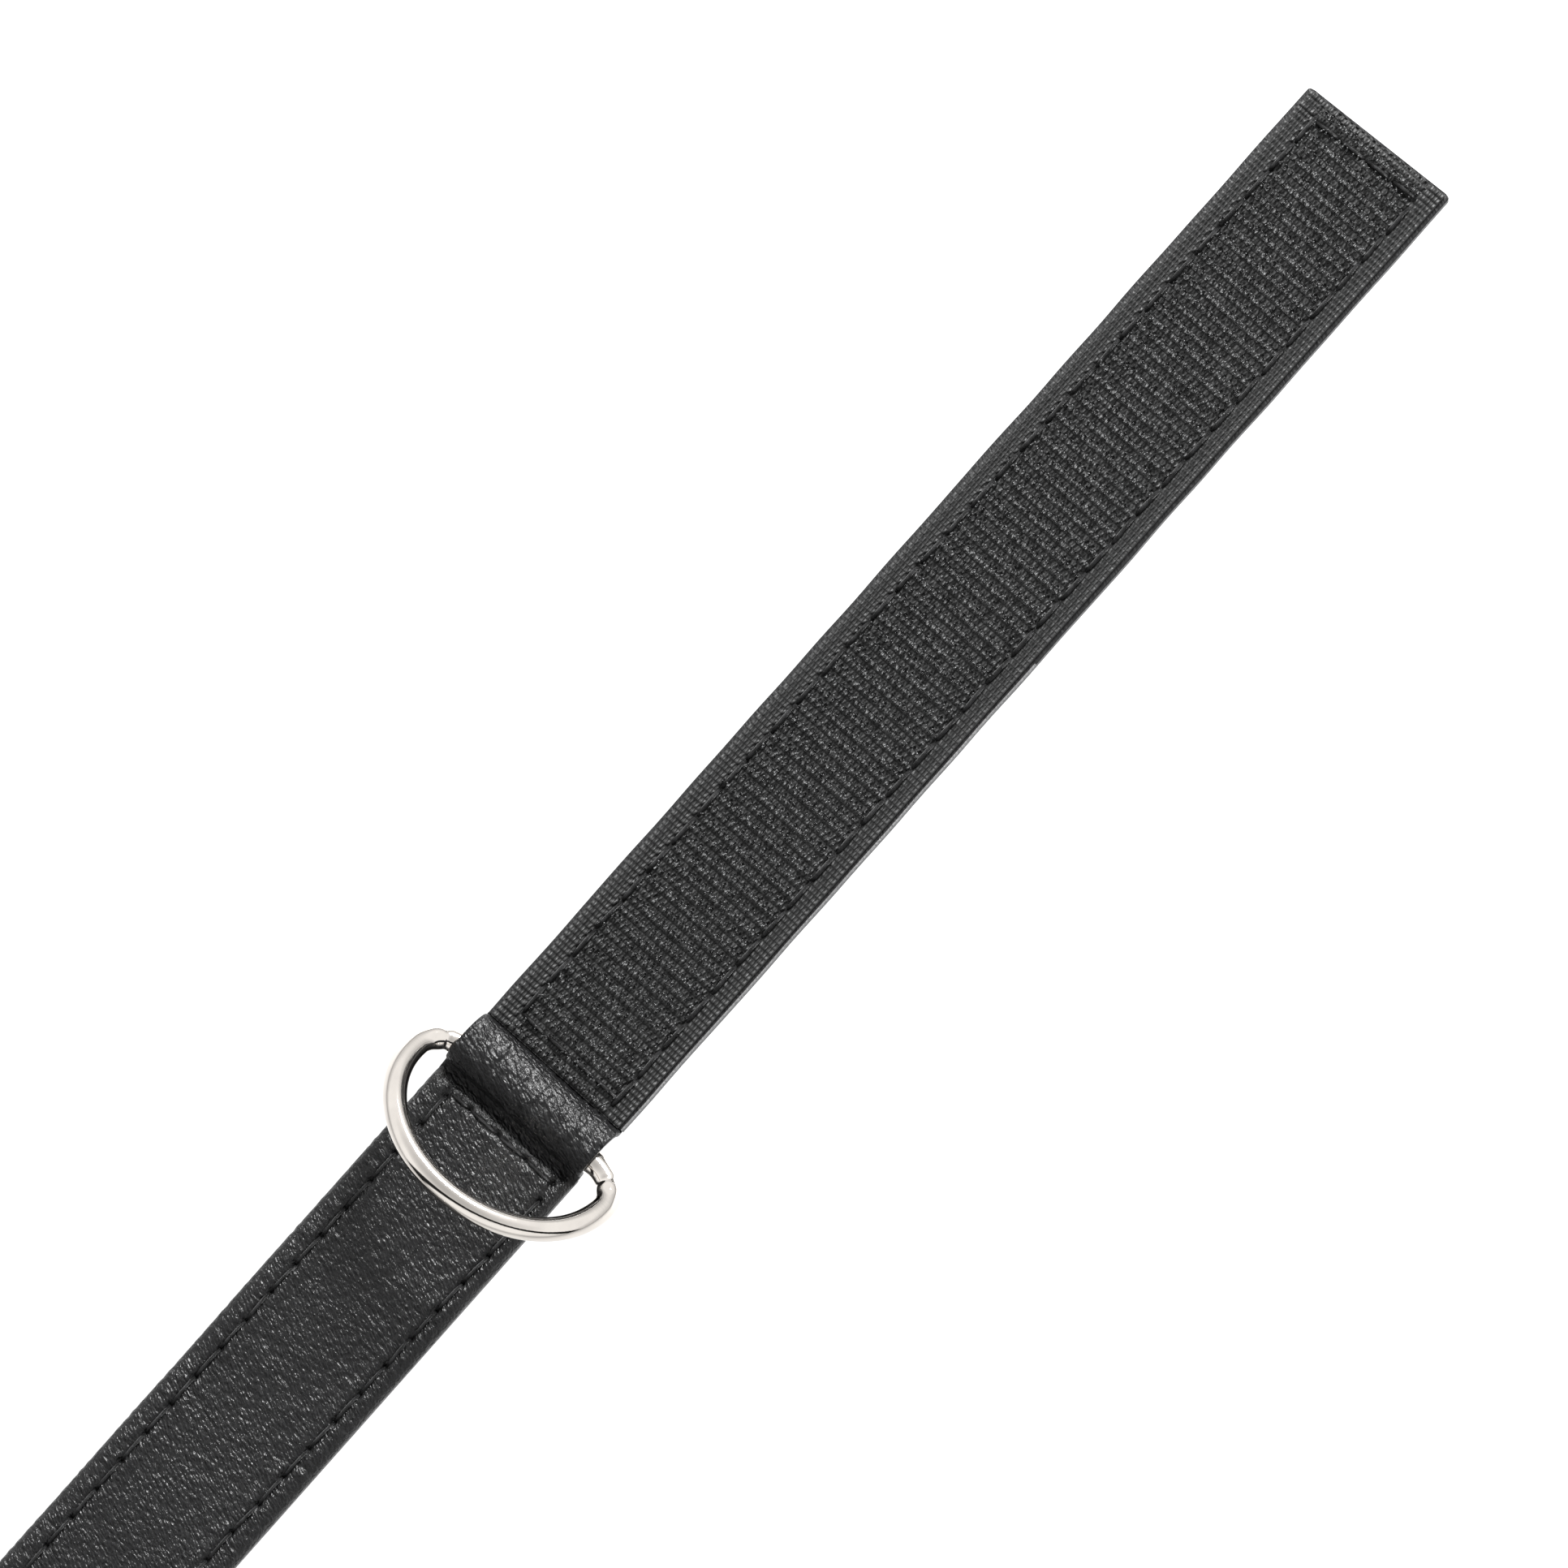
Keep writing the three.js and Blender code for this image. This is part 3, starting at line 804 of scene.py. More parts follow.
@dataclass(frozen=True)
class Stitching:
    """Lockstitch in a thick bonded thread.

    Attributes:
        radius: thread radius in mm.
        dive: how far the ends go down into the needle holes, in mm.
        crown: how far the middle stands up, in mm.
        cells: mesh cells along one stitch.
    """

    radius: float = 0.2
    dive: float = 0.5
    crown: float = 0.1
    cells: int = 8

    def pattern(self) -> bpy.types.Object:
        """Return one stitch along X, centred at the origin, in metres."""
        clear_selection()
        bpy.ops.mesh.primitive_cylinder_add(vertices=6, radius=self.radius * MM, depth=STITCH * MM,
                                            end_fill_type="NGON", rotation=(0, math.pi / 2, 0))
        obj = bpy.context.active_object
        bpy.ops.object.transform_apply(location=False, rotation=True, scale=False)
        bpy.ops.object.mode_set(mode="EDIT")
        for i in range(1, self.cells):
            bpy.ops.mesh.select_all(action="SELECT")
            x = (i / self.cells - 0.5) * STITCH * MM
            bpy.ops.mesh.bisect(plane_co=(x, 0, 0), plane_no=(1, 0, 0))
        bpy.ops.object.mode_set(mode="OBJECT")
        co = vertices(obj)
        share = co[:, 0] / (STITCH * MM) * 2
        rise = 1 - np.abs(share) ** 4
        uv = obj.data.uv_layers.active or obj.data.uv_layers.new(name="UVMap")
        for loop in obj.data.loops:
            v = co[loop.vertex_index]
            uv.data[loop.index].uv = (v[0] / (STITCH * MM) * 4, math.atan2(v[2], v[1]) / math.pi)
        lift = self.crown * rise - self.dive * (1 - rise)
        co[:, 2] = co[:, 2] * (0.75 + 0.25 * rise) + lift * MM
        co[:, 1] *= 0.7 + 0.3 * rise
        co[:, 0] *= 0.97
        move_vertices(obj, co)
        return obj

    def row(self, name: str, runs: list[tuple[Array, Array]], height: float) -> bpy.types.Object:
        """Lay stitches between the needle holes of one or more rows.

        Args:
            name: the piece's name.
            runs: for each row, its hole places X and Y in mm.
            height: height of the stitches' middle in mm.

        Returns:
            One object holding all the stitches.
        """
        swarm = Swarm(name, self.pattern())
        rng = np.random.default_rng(len(name) + 17)
        for xs, ys in runs:
            for x0, y0, x1, y1 in zip(xs[:-1], ys[:-1], xs[1:], ys[1:]):
                turn = turn_z(math.atan2(y1 - y0, x1 - x0) + rng.normal(0, 0.025))
                reach = math.hypot(x1 - x0, y1 - y0) / STITCH
                stretch = np.diag([reach, 1 + rng.normal(0, 0.05), 1])
                middle = np.array([(x0 + x1) / 2, (y0 + y1) / 2, height])
                swarm.frames.append((turn @ stretch, middle * MM))
        return swarm.build()


def stitches_along(span: Span, low: float, high: float, shift: float = 0.0) -> list[Array]:
    """Return the ends of the stitches of a row that runs along the strap.

    Args:
        span: the stretch whose stitches are wanted, by where their middles lie.
        low: the row's lowest X in mm.
        high: the row's highest X in mm.
        shift: the needle holes lie this far towards -X, in mm.

    Returns:
        For each stitch, the X of its two needle holes in mm.
    """
    slack = 1.5
    first = math.ceil((max(span.x0, low) - STITCH / 2 + shift) / STITCH - 1e-6)
    last = math.floor((min(span.x1, high) + STITCH / 2 + shift) / STITCH + 1e-6)
    xs = np.arange(first, last + 1) * STITCH - shift
    xs = xs[(xs >= low - slack) & (xs <= high + slack)]
    pairs = zip(xs[:-1], xs[1:])
    return [np.array([a, b]) for a, b in pairs if span.x0 <= (a + b) / 2 < span.x1]


def edge_rows(span: Span, low: float, high: float) -> list[tuple[Array, Array]]:
    """Return the stitches of both top-stitch rows between two X, as holes' X and Y in mm."""
    return [(pair, row_y(pair, side)) for side, shift in ((1, 0.0), (-1, ROW_SHIFT))
            for pair in stitches_along(span, low, high, shift)]


# ---------------------------------------------------------------- neck band


def nodes_of(lengths: tuple[tuple[str, str], ...], *parts: str) -> tuple[str, ...]:
    """Return the CAD nodes that stand for some parts of some lengths of strap.

    Args:
        lengths: for each length, the start and the end of its body's name.
        *parts: what the nodes are, such as face or seam.

    Returns:
        The nodes' names.
    """
    return tuple(node for kind, tag in lengths for part in parts for node in frame["nodes"]
                 if node.startswith(f"{kind}_{part}_{tag}"))


@dataclass
class NeckBand:
    """The padded leather band round the neck, with turned and top-stitched edges.

    Attributes:
        finishes: the finishes.
        cell: length of a mesh cell along the strap in mm.
        cross_in: from the hinge line just beyond each ring to the row across the strap, in mm.
        dip_far: from a ring's bar to where the band starts to be pressed thin, in mm.
        dip_run: length over which the band gets thinner, in mm.
    """

    finishes: Finishes
    cell: float = 0.3
    cross_in: float = 9.4
    dip_far: float = 4.8
    dip_run: float = 2.0

    @property
    def cross(self) -> tuple[float, float]:
        """X of the two stitched rows across the band."""
        return H_TONGUE_3 - self.cross_in, H_LAP_1 + self.cross_in

    def dip(self, x: Array) -> Array:
        """Return how much the band is pressed thin beside the rings' bars, 0 to 1."""
        total = np.zeros_like(x)
        for bar, side in ((BAR_A, 1), (BAR_B, -1)):
            away = (bar - x) * side
            fall = np.clip((self.dip_far - away) / self.dip_run, 0, 1)
            total += fall * fall * (3 - 2 * fall) * (away > 0) * (away < 6)
        return total

    def face(self, span: Span, nodes: tuple[str, ...]) -> None:
        """Build one stretch of face leather, which stands for the given CAD nodes."""
        section = band_section()
        normal = section_normals(section)

        def shape(x: Array, y: Array, z: Array, k: Array) -> tuple[Array, Array, Array]:
            """Return places on the leather in mm."""
            lift = band_relief(x, y, self.cross) * np.clip((z - 1.2) / 1.2, 0, 1)
            y = y + normal[k, 0] * lift
            z = z + normal[k, 1] * lift
            return x, y, np.where(z > 1.0, 1.0 + (z - 1.0) * (1 - 0.5 * self.dip(x)), z)

        obj = strap_skin(f"{span.name}_face", (span.x0, span.x1), self.cell, section, shape)
        self.finishes.dress(obj, "nappa")
        bend_over(obj, nodes)

    def lining(self, span: Span, nodes: tuple[str, ...]) -> None:
        """Build one stretch of lining under the band, which stands for the given CAD nodes."""
        x1 = H_TONGUE_3 - 0.02 if span.high_body == "end_a" else span.x1
        x0 = H_LAP_1 + 0.02 if span.low_body == "end_b" else span.x0

        def shape(x: Array, y: Array, z: Array, k: Array) -> tuple[Array, Array, Array]:
            """Return places on the lining in mm."""
            return x, y, z + np.where(z < 0.05, 0.03 * (1 + SWELL.at(x, y)), 0)

        section = slab_section(8.7, 0.0, 0.9, 0.2, 24)
        obj = strap_skin(f"{span.name}_lining", (x0, x1), 1.0, section, shape)
        self.finishes.dress(obj, "lining")
        bend_over(obj, nodes)

    def threads(self, span: Span, nodes: tuple[str, ...]) -> None:
        """Sew the two edge rows and any cross row of a stretch."""
        runs = edge_rows(span, self.cross[1], self.cross[0])
        for cross in self.cross:
            if span.x0 < cross < span.x1:
                low, high = float(row_y(cross, -1)), float(row_y(cross, 1))
                ys = np.arange(-2, 3) * STITCH
                ys = np.concatenate([[low], ys[(ys > low) & (ys < high)], [high]])
                runs.append((np.full(len(ys), cross), ys))
        obj = Stitching().row(f"{span.name}_stitches", runs, FACE_TOP - 0.1)
        self.finishes.dress(obj, "thread")
        bend_over(obj, nodes)

    def build(self) -> None:
        """Build every stretch of the band."""
        covers = ((("band", "1"), ("end", "a")), (("band", "2"),), (),
                  (("band", "3"), ("end", "b")))
        for span, covered in zip(BAND_SPANS, covers):
            self.face(span, nodes_of(covered, "face", "core"))
            self.lining(span, nodes_of(covered, "lining"))
            self.threads(span, nodes_of(covered, "seam"))


# ---------------------------------------------------------------- leather roll and ring


@dataclass
class RingRoll:
    """The leather roll sewn round a ring's bar.

    Attributes:
        finishes: the finishes.
        inner: radius of the tunnel in mm.
        thick: thickness of the leather in mm.
        rows: mesh cells across the strap.
        rim: width over which the leather thins towards the strap's edges, in mm.
    """

    finishes: Finishes
    inner: float = 1.5
    thick: float = 0.9
    rows: int = 150
    rim: float = 0.55

    def profile(self) -> Array:
        """Return the middle of the leather in distance from the bar and height, in mm."""
        r = self.inner + self.thick / 2
        pts = [(-3.9, 1.1), (-3.4, 1.4), (-2.9, 1.62), (-2.4, 1.85)]
        pts += arc_points(0, BAR_Z, r, 196, 92, 14)
        end, low = BAR_IN - 0.5, 1.35
        pts += [(end * math.sin(t), low + (BAR_Z + r - low) * math.cos(t) ** 0.8)
                for t in np.linspace(0.05, math.pi / 2 - 0.05, 14)]
        pts += [(end + 0.1, 1.05), (BAR_IN - 0.03, 0.95)]
        return np.array(pts)

    def build(self, tag: str, body: str, bar: float, side: Side) -> None:
        """Build one roll.

        Args:
            tag: the end's letter.
            body: the body it rides on.
            bar: X of the ring's bar in mm.
            side: which way the tongue or lap lies.
        """
        mid_line = self.profile()
        count = len(mid_line)
        ahead = np.gradient(mid_line, axis=0)
        out = np.stack([-ahead[:, 1], ahead[:, 0]], 1)
        out /= np.linalg.norm(out, axis=1, keepdims=True)
        around = 2 * count + 4

        def place(share: Array, step: Array) -> Array:
            """Return places on the roll in mm."""
            y = (share * 2 - 1) * (HALF_W - 0.02)
            k = step % around
            top = k < count
            i = np.where(top, k, np.clip(2 * count + 1 - k, 0, count - 1))
            mid_p = mid_line[i]
            half = np.where(top, self.thick / 2, -self.thick / 2)
            rim = np.clip((HALF_W - np.abs(y)) / self.rim, 0, 1)
            half = half * (0.45 + 0.55 * np.sqrt(1 - (1 - rim) ** 2))
            half = np.where((k == count) | (k == count + 1), half * 0.6, half)
            wrinkle = 0.04 * CREASE.at(y + 40 * side.value, i * 0.35)
            wrinkle += 0.05 * SWELL.at(y * 2.2, i * 0.6)
            wrinkle += 0.03 * PUCKER.at(y * 1.5, i * 0.3) * np.clip((i - 14) / 8, 0, 1)
            half = half + np.where(top, wrinkle, 0)
            p = mid_p + out[i] * half[:, None]
            return np.stack([bar + side.value * p[:, 0], y, p[:, 1]], 1)

        obj = skin_from_grid(f"roll_{tag}", self.rows, around, place)
        self.finishes.dress(obj, "roll")
        hold(obj, body)


@dataclass
class DRing:
    """A welded wire D-ring.

    Attributes:
        finishes: the finishes.
        wire: wire radius in mm.
        half: half the width of the centre line in mm.
        corner: centre-line radius between bar and bow in mm.
        depth: depth of the bow as a share of its half width.
        tilt: how far it stands off the strap, in degrees.
        shift: sideways play taken up, in mm.
    """

    finishes: Finishes
    wire: float = 1.4
    half: float = 13.9
    corner: float = 4.2
    depth: float = 0.92
    tilt: float = 41.5
    shift: float = 0.8

    def notched(self, co: Array) -> Array:
        """Press in the wire where the bow's ends are joined to the bar.

        Args:
            co: the flat ring's vertices in metres, its bar at the origin.

        Returns:
            The vertices with both joints pressed in.
        """
        start, corner = (self.half - self.corner) * MM, self.corner * MM
        side = np.sign(co[:, 1])
        along, out = corner - co[:, 0], np.abs(co[:, 1]) - start
        angle = np.degrees(np.arctan2(out, along))
        turn = np.radians(np.clip(angle, 0, 90))
        middle = np.stack([corner * (1 - np.cos(turn)), side * (start + corner * np.sin(turn)),
                           np.zeros_like(turn)], 1)
        press = 0.08 * np.exp(-(((angle - 38) / 5) ** 2))
        press -= 0.03 * np.exp(-(((angle - 54) / 9) ** 2))
        press *= (co[:, 0] < corner) & (out > 0)
        return co + (middle - co) * press[:, None]

    def build(self, tag: str, bar: float, side: Side) -> None:
        """Build one ring flat by spinning its wire, then stand it in its roll.

        Args:
            tag: the end's letter.
            bar: X of the bar in mm.
            side: which way the tongue or lap lies.
        """
        clear_selection()
        start = self.half - self.corner
        bpy.ops.mesh.primitive_circle_add(vertices=36, radius=self.wire * MM, location=(0, 0, 0),
                                          rotation=(math.pi / 2, 0, 0))
        obj = bpy.context.active_object
        obj.name = obj.data.name = f"ring_{tag}"
        bpy.ops.object.transform_apply(location=False, rotation=True, scale=False)
        bpy.ops.object.mode_set(mode="EDIT")
        bpy.ops.mesh.select_all(action="SELECT")
        bpy.ops.transform.translate(value=(0, -start * MM, 0))
        bpy.ops.mesh.extrude_region_move(TRANSFORM_OT_translate={"value": (0, 2 * start * MM, 0)})
        for centre, angle, steps in (((self.corner, start), 90, 24), ((self.corner, 0), 180, 84),
                                     ((self.corner, -start), 90, 24)):
            bpy.ops.mesh.spin(steps=steps, angle=math.radians(angle), axis=(0, 0, 1),
                              center=(centre[0] * MM, centre[1] * MM, 0))
        bpy.ops.object.mode_set(mode="OBJECT")
        co = self.notched(vertices(obj))
        bow = co[:, 0] > self.corner * MM
        co[bow, 0] = self.corner * MM + (co[bow, 0] - self.corner * MM) * self.depth
        a = math.radians(self.tilt)
        q, y, n = co[:, 0].copy(), co[:, 1].copy(), co[:, 2].copy()
        s = side.value
        x = bar * MM - s * q * math.cos(a) + s * n * math.sin(a)
        z = BAR_Z * MM + q * math.sin(a) + n * math.cos(a)
        move_vertices(obj, np.stack([x, y - s * self.shift * MM, z], 1))
        close_up(obj, 60, fill=False)
        self.finishes.dress(obj, "nickel")
        hold(obj, f"ring_{tag}", (f"d_ring_{tag}",))


# ---------------------------------------------------------------- hook tongue


def tip_limit(y: Array) -> Array:
    """Return the tongue tip's X in mm at places across it: cut oblique, corners rounded."""
    slope, r = 0.042, 0.6
    y = np.asarray(y, float)
    over = np.clip(np.abs(y) - (HALF_W - r), 0, r)
    return TIP_X - slope * (y + HALF_W) - (r - np.sqrt(r * r - over * over))


@dataclass
class HookTongue:
    """The leather tongue faced with woven hook tape.

    Attributes:
        finishes: the finishes.
        pitch: distance between pairs of hook columns along the tape, in mm.
        spread: half the distance between the two columns of a pair, in mm.
        row: distance between hooks across the tape, in mm.
        rib: distance between the selvedges' ribs along the tape, in mm.
        cord: distance between the selvedges' cords across the tape, in mm.
        yarn: distance between the ground's yarns across the tape, in mm.
        seam_high: Y of the sewn row on the +Y side in mm.
        seam_low: Y of the sewn row on the -Y side in mm.
        seam_shift: how far the -Y row's needle holes are moved along it, in mm.
        seam_slope: how much the row across the tip leans.
        end_in: from the tape's ends to the rows across them, in mm.
    """

    finishes: Finishes
    pitch: float = 1.5
    spread: float = 0.27
    row: float = 0.78
    rib: float = 0.75
    cord: float = 0.48
    yarn: float = 0.82
    seam_high: float = 7.1
    seam_low: float = -7.5
    seam_shift: float = 1.1
    seam_slope: float = 0.055
    end_in: float = 2.5

    @property
    def ends(self) -> tuple[float, float]:
        """X of the sewn rows across the tape's ends."""
        return H_TONGUE_3 + self.end_in, TIP_X - 0.6 - self.end_in

    def squeeze(self, x: Array, y: Array, inset: float) -> Array:
        """Draw the outermost cells in to the tip's outline."""
        limit = tip_limit(y) - inset
        from_x = TIP_X - 4.0
        return np.where(x > from_x, from_x + (x - from_x) * (limit - from_x) / (TIP_X - from_x), x)

    def backing(self, span: Span, nodes: tuple[str, ...]) -> None:
        """Build one stretch of backing leather, which stands for the given CAD nodes."""
        def shape(x: Array, y: Array, z: Array, k: Array) -> tuple[Array, Array, Array]:
            """Return places on the backing in mm."""
            waver = np.sign(y) * 0.05 * SWELL.at(x * 1.7, y * 0)
            y = y + np.where(np.abs(y) > HALF_W - 0.3, waver, 0)
            return self.squeeze(x, y, 0), y, np.maximum(z, 0)

        section = slab_section(HALF_W, 0.0, BACKING_TOP, 0.25, 40)
        obj = strap_skin(f"{span.name}_backing", (span.x0, span.x1), 0.5, section, shape)
        self.finishes.dress(obj, "backing", "cut_edge")
        rim = -(HALF_W - 0.42) * MM
        for poly in obj.data.polygons:
            if abs(poly.normal.z) < 0.5 or (poly.center.y < rim and poly.normal.z > 0):
                poly.material_index = 1
        bend_over(obj, nodes)

    def weave(self, x: Array, y: Array) -> Array:
        """Return the height in mm of the woven base above its plain top.

        Args:
            x: places along the tape in mm.
            y: places across it in mm.

        Returns:
            The height at each place.
        """
        selvedge = np.clip((np.abs(y) - HOOK_HALF) / 0.3, 0, 1)
        ribs = 0.14 * (np.abs(np.sin(math.pi * x / self.rib)) - 0.5)
        cords = 0.08 * np.cos(2 * math.pi * y / self.cord)
        turn = np.where(np.floor(x / self.rib) % 2 > 0, math.pi, 0)
        loose = CREASE.at(x * 0.9, y * 1.4)
        ground = 0.08 * np.cos(2 * math.pi * y / self.yarn + turn) * (1 + 0.5 * loose) - 0.12
        columns = np.cos(2 * math.pi * (x + 0.16 * loose) / self.pitch)
        ground += 0.06 * columns * (0.7 + 0.5 * loose)
        ribs = ribs + 0.035 * CREASE.at(x * 2.2, y * 2.2)
        height = selvedge * (ribs + cords) + (1 - selvedge) * ground
        away = np.minimum(np.abs(y - self.seam_high), np.abs(y - self.seam_low))
        return height - 0.25 * np.exp(-((away / 0.35) ** 2))

    def tape(self, span: Span, nodes: tuple[str, ...]) -> None:
        """Build one stretch of the woven base, which stands for the given CAD nodes."""
        def shape(x: Array, y: Array, z: Array, k: Array) -> tuple[Array, Array, Array]:
            """Return places on the tape in mm."""
            lift = np.where(z > TAPE_TOP - 0.25, self.weave(x, y), 0)
            return self.squeeze(x, y, 0.35), y, z + lift

        section = slab_section(TAPE_HALF, BACKING_TOP + 0.08, TAPE_TOP, 0.3, 150)
        obj = strap_skin(f"{span.name}_tape", (span.x0, span.x1), 0.15, section, shape)
        self.finishes.dress(obj, "tape")
        bend_over(obj, nodes)

    def hook(self) -> bpy.types.Object:
        """Return one hook of bent monofilament, standing on the XY plane, in metres."""
        radius, stem, bend = 0.105 * MM, 0.86 * MM, 0.24 * MM
        clear_selection()
        bpy.ops.mesh.primitive_circle_add(vertices=5, radius=radius, location=(0, 0, 0))
        obj = bpy.context.active_object
        bpy.ops.object.mode_set(mode="EDIT")
        bpy.ops.mesh.select_all(action="SELECT")
        bpy.ops.mesh.extrude_region_move(TRANSFORM_OT_translate={"value": (0, 0, stem)})
        bpy.ops.mesh.spin(steps=5, angle=math.radians(205), axis=(0, 1, 0), center=(bend, 0, stem))
        bpy.ops.mesh.edge_face_add()
        bpy.ops.mesh.select_all(action="SELECT")
        bpy.ops.mesh.normals_make_consistent(inside=False)
        bpy.ops.object.mode_set(mode="OBJECT")
        return obj

    def hooks(self, span: Span) -> None:
        """Plant the field of hooks on one stretch."""
        swarm = Swarm(f"{span.name}_hooks", self.hook())
        rng = np.random.default_rng(101)
        start = H_TONGUE_3 + 0.9
        columns = int((TIP_X - start) / self.pitch)
        rows = int(2 * HOOK_HALF / self.row) + 1
        for i, j, facing in product(range(columns), range(rows), (1, -1)):
            jitter = rng.normal(0, 1, 5)
            y = -HOOK_HALF + 0.1 + j * self.row + (0.5 * self.row if facing > 0 else 0) * (i % 2)
            x = start + i * self.pitch - facing * self.spread
            x, y = x + 0.05 * jitter[0], y + 0.05 * jitter[1]
            tip_row = self.ends[1] - self.seam_slope * (y + HALF_W) + 0.5
            from_seam = min(abs(y - self.seam_high), abs(y - self.seam_low),
                            abs(x - self.ends[0]), abs(x - tip_row))
            if y > HOOK_HALF or from_seam < 0.33 or x > tip_limit(y) - 0.7:
                continue
            if not span.x0 <= x < span.x1:
                continue
            turn = turn_z((0 if facing > 0 else math.pi) + 0.3 * jitter[2])
            size = 1 + 0.05 * jitter[3]
            lean = np.array([[1, 0, 0.10 * jitter[4]], [0, 1, 0.06 * jitter[2]], [0, 0, size]])
            swarm.frames.append((lean @ turn, np.array([x, y, TAPE_TOP - 0.3]) * MM))
        obj = swarm.build()
        self.finishes.dress(obj, "hooks")
        bend_over(obj)

    def threads(self, span: Span, nodes: tuple[str, ...]) -> None:
        """Sew the tape down along both selvedges and across its ends."""
        low, high = self.ends
        rows = ((self.seam_high, 0.0), (self.seam_low, self.seam_shift))
        runs = [(pair, np.full(2, y)) for y, shift in rows
                for pair in stitches_along(span, low, high, shift)]
        for x in (low, high):
            if span.x0 < x < span.x1:
                ys = np.linspace(self.seam_low, self.seam_high, 5)
                runs.append((x - (self.seam_slope * ys if x == high else 0 * ys), ys))
        obj = Stitching(radius=0.26).row(f"{span.name}_stitches", runs, TAPE_TOP + 0.12)
        self.finishes.dress(obj, "thread")
        bend_over(obj, nodes)

    def build(self) -> None:
        """Build every stretch of the tongue."""
        for span, number in zip(TONGUE_SPANS, "123"):
            self.backing(span, (f"tongue_backing_{number}",))
            self.tape(span, (f"hook_tape_{number}",))
            self.hooks(span)
            self.threads(span, nodes_of((("tongue", number),), "seam"))


# ---------------------------------------------------------------- loop lap


@dataclass
class LoopLap:
    """The leather lap with loop tape on its inner face.

    Attributes:
        finishes: the finishes.
        pile_half: half the width of the brushed pile in mm.
        end_in: from the lap's ends to the sewn rows across them, in mm.
    """

    finishes: Finishes
    pile_half: float = 7.8
    end_in: float = 2.5

    @property
    def ends(self) -> tuple[float, float]:
        """X of the sewn rows across the lap's ends."""
        return LAP_X + self.end_in, H_LAP_1 - self.end_in

    def squeeze(self, x: Array, y: Array, inset: float) -> Array:
        """Draw the outermost cells in to the rounded end."""
        r = 2.0
        over = np.clip(np.abs(y) - (HALF_W - r), 0, r)
        limit = LAP_X + inset + (r - np.sqrt(r * r - over * over))
        from_x = LAP_X + 4.0
        return np.where(x < from_x, from_x + (x - from_x) * (limit - from_x) / (LAP_X - from_x), x)

    def face(self, span: Span, nodes: tuple[str, ...]) -> None:
        """Build one stretch of the lap's leather, which stands for the given CAD nodes."""
        section = slab_section(HALF_W, LAP_LOW, LAP_TOP, 0.8, 72)
        normal = section_normals(section)

        def shape(x: Array, y: Array, z: Array, k: Array) -> tuple[Array, Array, Array]:
            """Return places on the leather in mm."""
            lift = band_relief(x, y, self.ends) * np.clip((z - 1.8) / 0.6, 0, 1)
            return self.squeeze(x, y, 0), y + normal[k, 0] * lift, z + normal[k, 1] * lift

        obj = strap_skin(f"{span.name}_face", (span.x0, span.x1), 0.3, section, shape)
        self.finishes.dress(obj, "nappa")
        bend_over(obj, nodes)

    def tape(self, span: Span, nodes: tuple[str, ...]) -> None:
        """Build one stretch of loop tape: woven ground, with a brushed pile below it."""
        pile = Ripple(23, 0.5, 1.3, 20, 1.5)

        def shape(x: Array, y: Array, z: Array, k: Array) -> tuple[Array, Array, Array]:
            """Return places on the tape in mm."""
            fluff = np.clip((self.pile_half - np.abs(y)) / 0.5, 0, 1) * (z < 0.6)
            drop = fluff * (0.36 + 0.12 * pile.at(x, y))
            return self.squeeze(x, y, 0.4), y, z - np.clip(drop, 0, 0.48)

        section = slab_section(TAPE_HALF, 0.5, 1.2, 0.15, 30)
        obj = strap_skin(f"{span.name}_tape", (span.x0, span.x1), 0.25, section, shape)
        self.finishes.dress(obj, "loops")
        bend_over(obj, nodes)

    def threads(self, span: Span, nodes: tuple[str, ...]) -> None:
        """Sew the lap's edge rows and the rows across its ends."""
        runs = edge_rows(span, *self.ends)
        for x in self.ends:
            if span.x0 < x < span.x1:
                ys = np.linspace(float(row_y(x, -1)), float(row_y(x, 1)), 5)
                runs.append((np.full(5, x), ys))
        obj = Stitching().row(f"{span.name}_stitches", runs, LAP_TOP - 0.1)
        self.finishes.dress(obj, "thread")
        bend_over(obj, nodes)

    def build(self) -> None:
        """Build both stretches of the lap."""
        for span, number in zip(LAP_SPANS, (1, 2)):
            self.face(span, (f"lap_face_{number}",))
            self.tape(span, (f"loop_tape_{number}",))
            self.threads(span, (f"lap_seam_{number}",))


# ---------------------------------------------------------------- studio


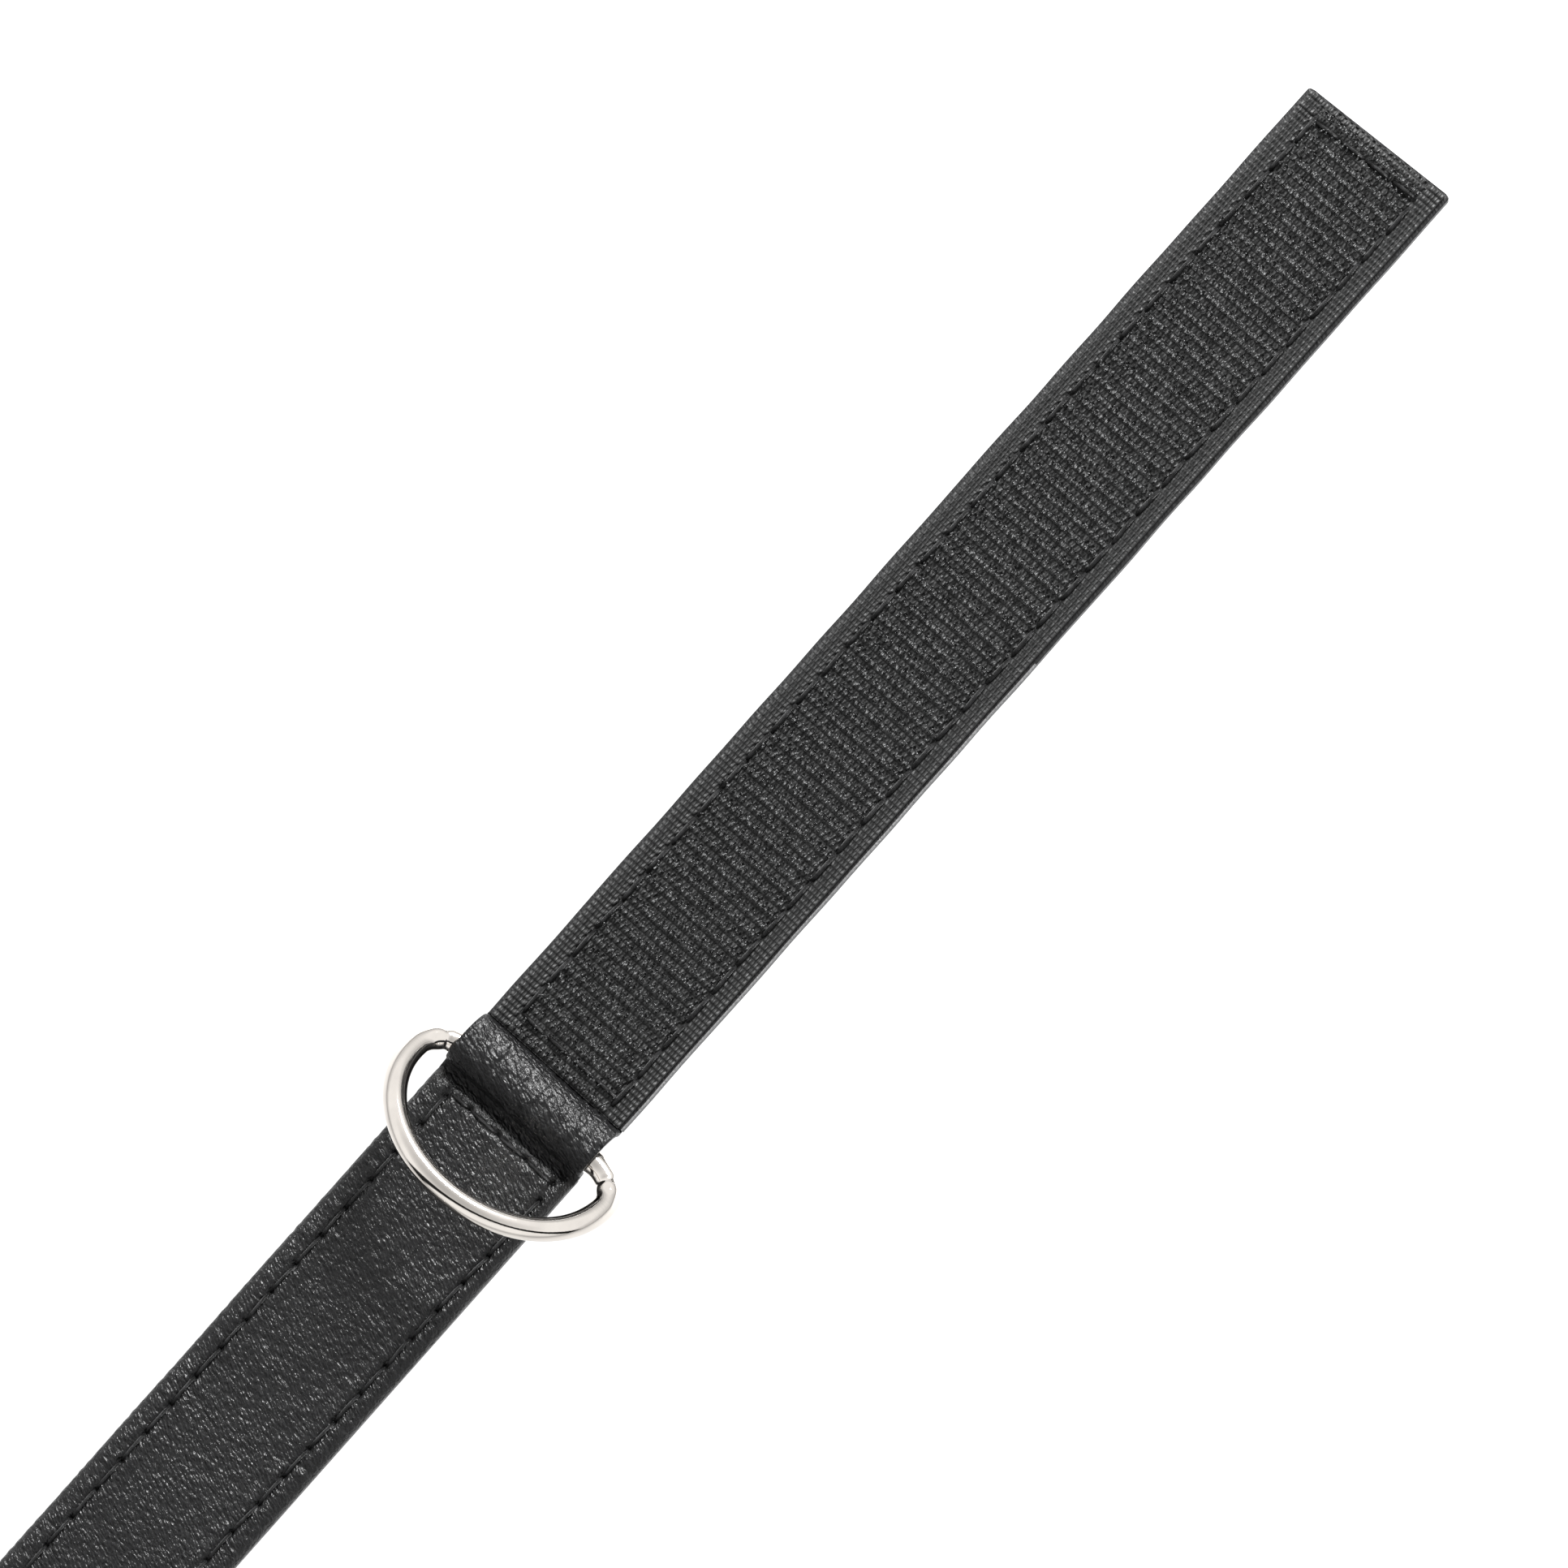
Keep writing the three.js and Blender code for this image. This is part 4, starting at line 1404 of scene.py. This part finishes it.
@dataclass
class Studio:
    """A pale floor, a soft key light, a bright sky and the camera.

    Attributes:
        drop: how far the floor lies below the strap, in metres.
        side: side of the camera's square view at the strap, in metres.
        lens: focal length in mm on a 36 mm sensor.
        turn: direction of the strap in the picture, in degrees above the horizon.
        lean: how far the camera leans towards -Y, in degrees.
        from_tip: from the tongue's tip to the middle of the view, in mm.
        aside: the middle of the view across the strap, in mm.
        pale: the floor's colour.
        key_at: place of the key light in metres.
        key_size: side of the key light in metres.
        key_power: its power in watts.
    """

    drop: float = 0.14
    side: float = 0.1754
    lens: float = 200.0
    turn: float = 48.42
    lean: float = 8.0
    from_tip: float = 98.4
    aside: float = 2.2
    pale: float = 0.61
    key_at: tuple[float, float, float] = (0.98, 0.20, 0.60)
    key_size: float = 0.38
    key_power: float = 30.0

    def floor(self) -> None:
        """Lay the floor."""
        clear_selection()
        bpy.ops.mesh.primitive_plane_add(size=60, location=(0, 0, -self.drop))
        obj = bpy.context.active_object
        obj.name = obj.data.name = "floor"
        mat, _, shader = start_material("pale_floor")
        shader.inputs["Base Color"].default_value = (self.pale, self.pale, self.pale, 1)
        shader.inputs["Roughness"].default_value = 0.9
        obj.data.materials.append(mat)

    def key(self) -> None:
        """Add a soft square light aimed at the tongue's root."""
        data = bpy.data.lights.new("key", "AREA")
        data.size, data.energy = self.key_size, self.key_power
        obj = bpy.data.objects.new("key", data)
        obj.location = self.key_at
        aim = Vector((0.08, 0, 0)) - Vector(self.key_at)
        obj.rotation_euler = aim.to_track_quat("-Z", "Y").to_euler()
        bpy.context.scene.collection.objects.link(obj)

    def camera(self) -> None:
        """Place the camera over the tongue and the first ring."""
        data = bpy.data.cameras.new("camera")
        data.lens, data.sensor_width = self.lens, 36.0
        obj = bpy.data.objects.new("camera", data)
        lean, turn = math.radians(self.lean), math.radians(self.turn)
        back = Vector((0, -math.sin(lean), math.cos(lean)))
        across = Vector((0, math.cos(lean), math.sin(lean)))
        along = Vector((1, 0, 0))
        right = along * math.cos(turn) - across * math.sin(turn)
        up = along * math.sin(turn) + across * math.cos(turn)
        aim = Vector(((TIP_X - self.from_tip) * MM, self.aside * MM, 0.0015))
        at = aim + back * (self.side * self.lens / 36.0)
        obj.matrix_world = Matrix.Translation(at) @ Matrix((right, up, back)).transposed().to_4x4()
        bpy.context.scene.collection.objects.link(obj)
        bpy.context.scene.camera = obj

    def sky(self) -> None:
        """Surround the strap with white, dimmer low down, overhead and in one gap to the side."""
        world = bpy.data.worlds.new("studio")
        world.use_nodes = True
        net = Net(world.node_tree)
        coords = net.node("ShaderNodeTexCoord")
        way = net.node("ShaderNodeSeparateXYZ", i_0=coords.outputs["Generated"]).outputs
        aside = net.math("ADD", net.math("MULTIPLY", way[0], -0.8),
                         net.math("MULTIPLY", way[1], -0.6))
        beside = net.math("ADD", net.span(aside, 0.34, 0.40, 1.0, 0.0), net.span(aside, 0.58, 0.64))
        gap = net.math("MAXIMUM", beside, 0.02)
        low_down = net.math("MULTIPLY", net.span(way[2], 0.08, 0.22, 0.7, 1.0), gap)
        glow = net.math("MULTIPLY", low_down, net.span(way[2], 0.6, 0.98, 1.05, 0.56))
        white = world.node_tree.nodes["Background"]
        white.inputs["Color"].default_value = (1, 1, 1, 1)
        net.tree.links.new(glow, white.inputs["Strength"])
        bpy.context.scene.world = world

    def build(self) -> None:
        """Build the sky, the floor, the light and the camera."""
        bpy.context.scene.view_settings.view_transform = "Standard"
        self.sky()
        self.floor()
        self.key()
        self.camera()


def main() -> None:
    """Build the collar piece by piece, then the studio."""
    logging.basicConfig(level=logging.INFO, format="%(name)s %(message)s")
    finishes = Finishes()
    NeckBand(finishes).build()
    for tag, body, bar, side in (("a", "end_a", BAR_A, Side.TONGUE),
                                 ("b", "end_b", BAR_B, Side.LAP)):
        RingRoll(finishes).build(tag, body, bar, side)
        DRing(finishes).build(tag, bar, side)
    HookTongue(finishes).build()
    LoopLap(finishes).build()
    Studio().build()


if __name__ == "__main__":
    main()
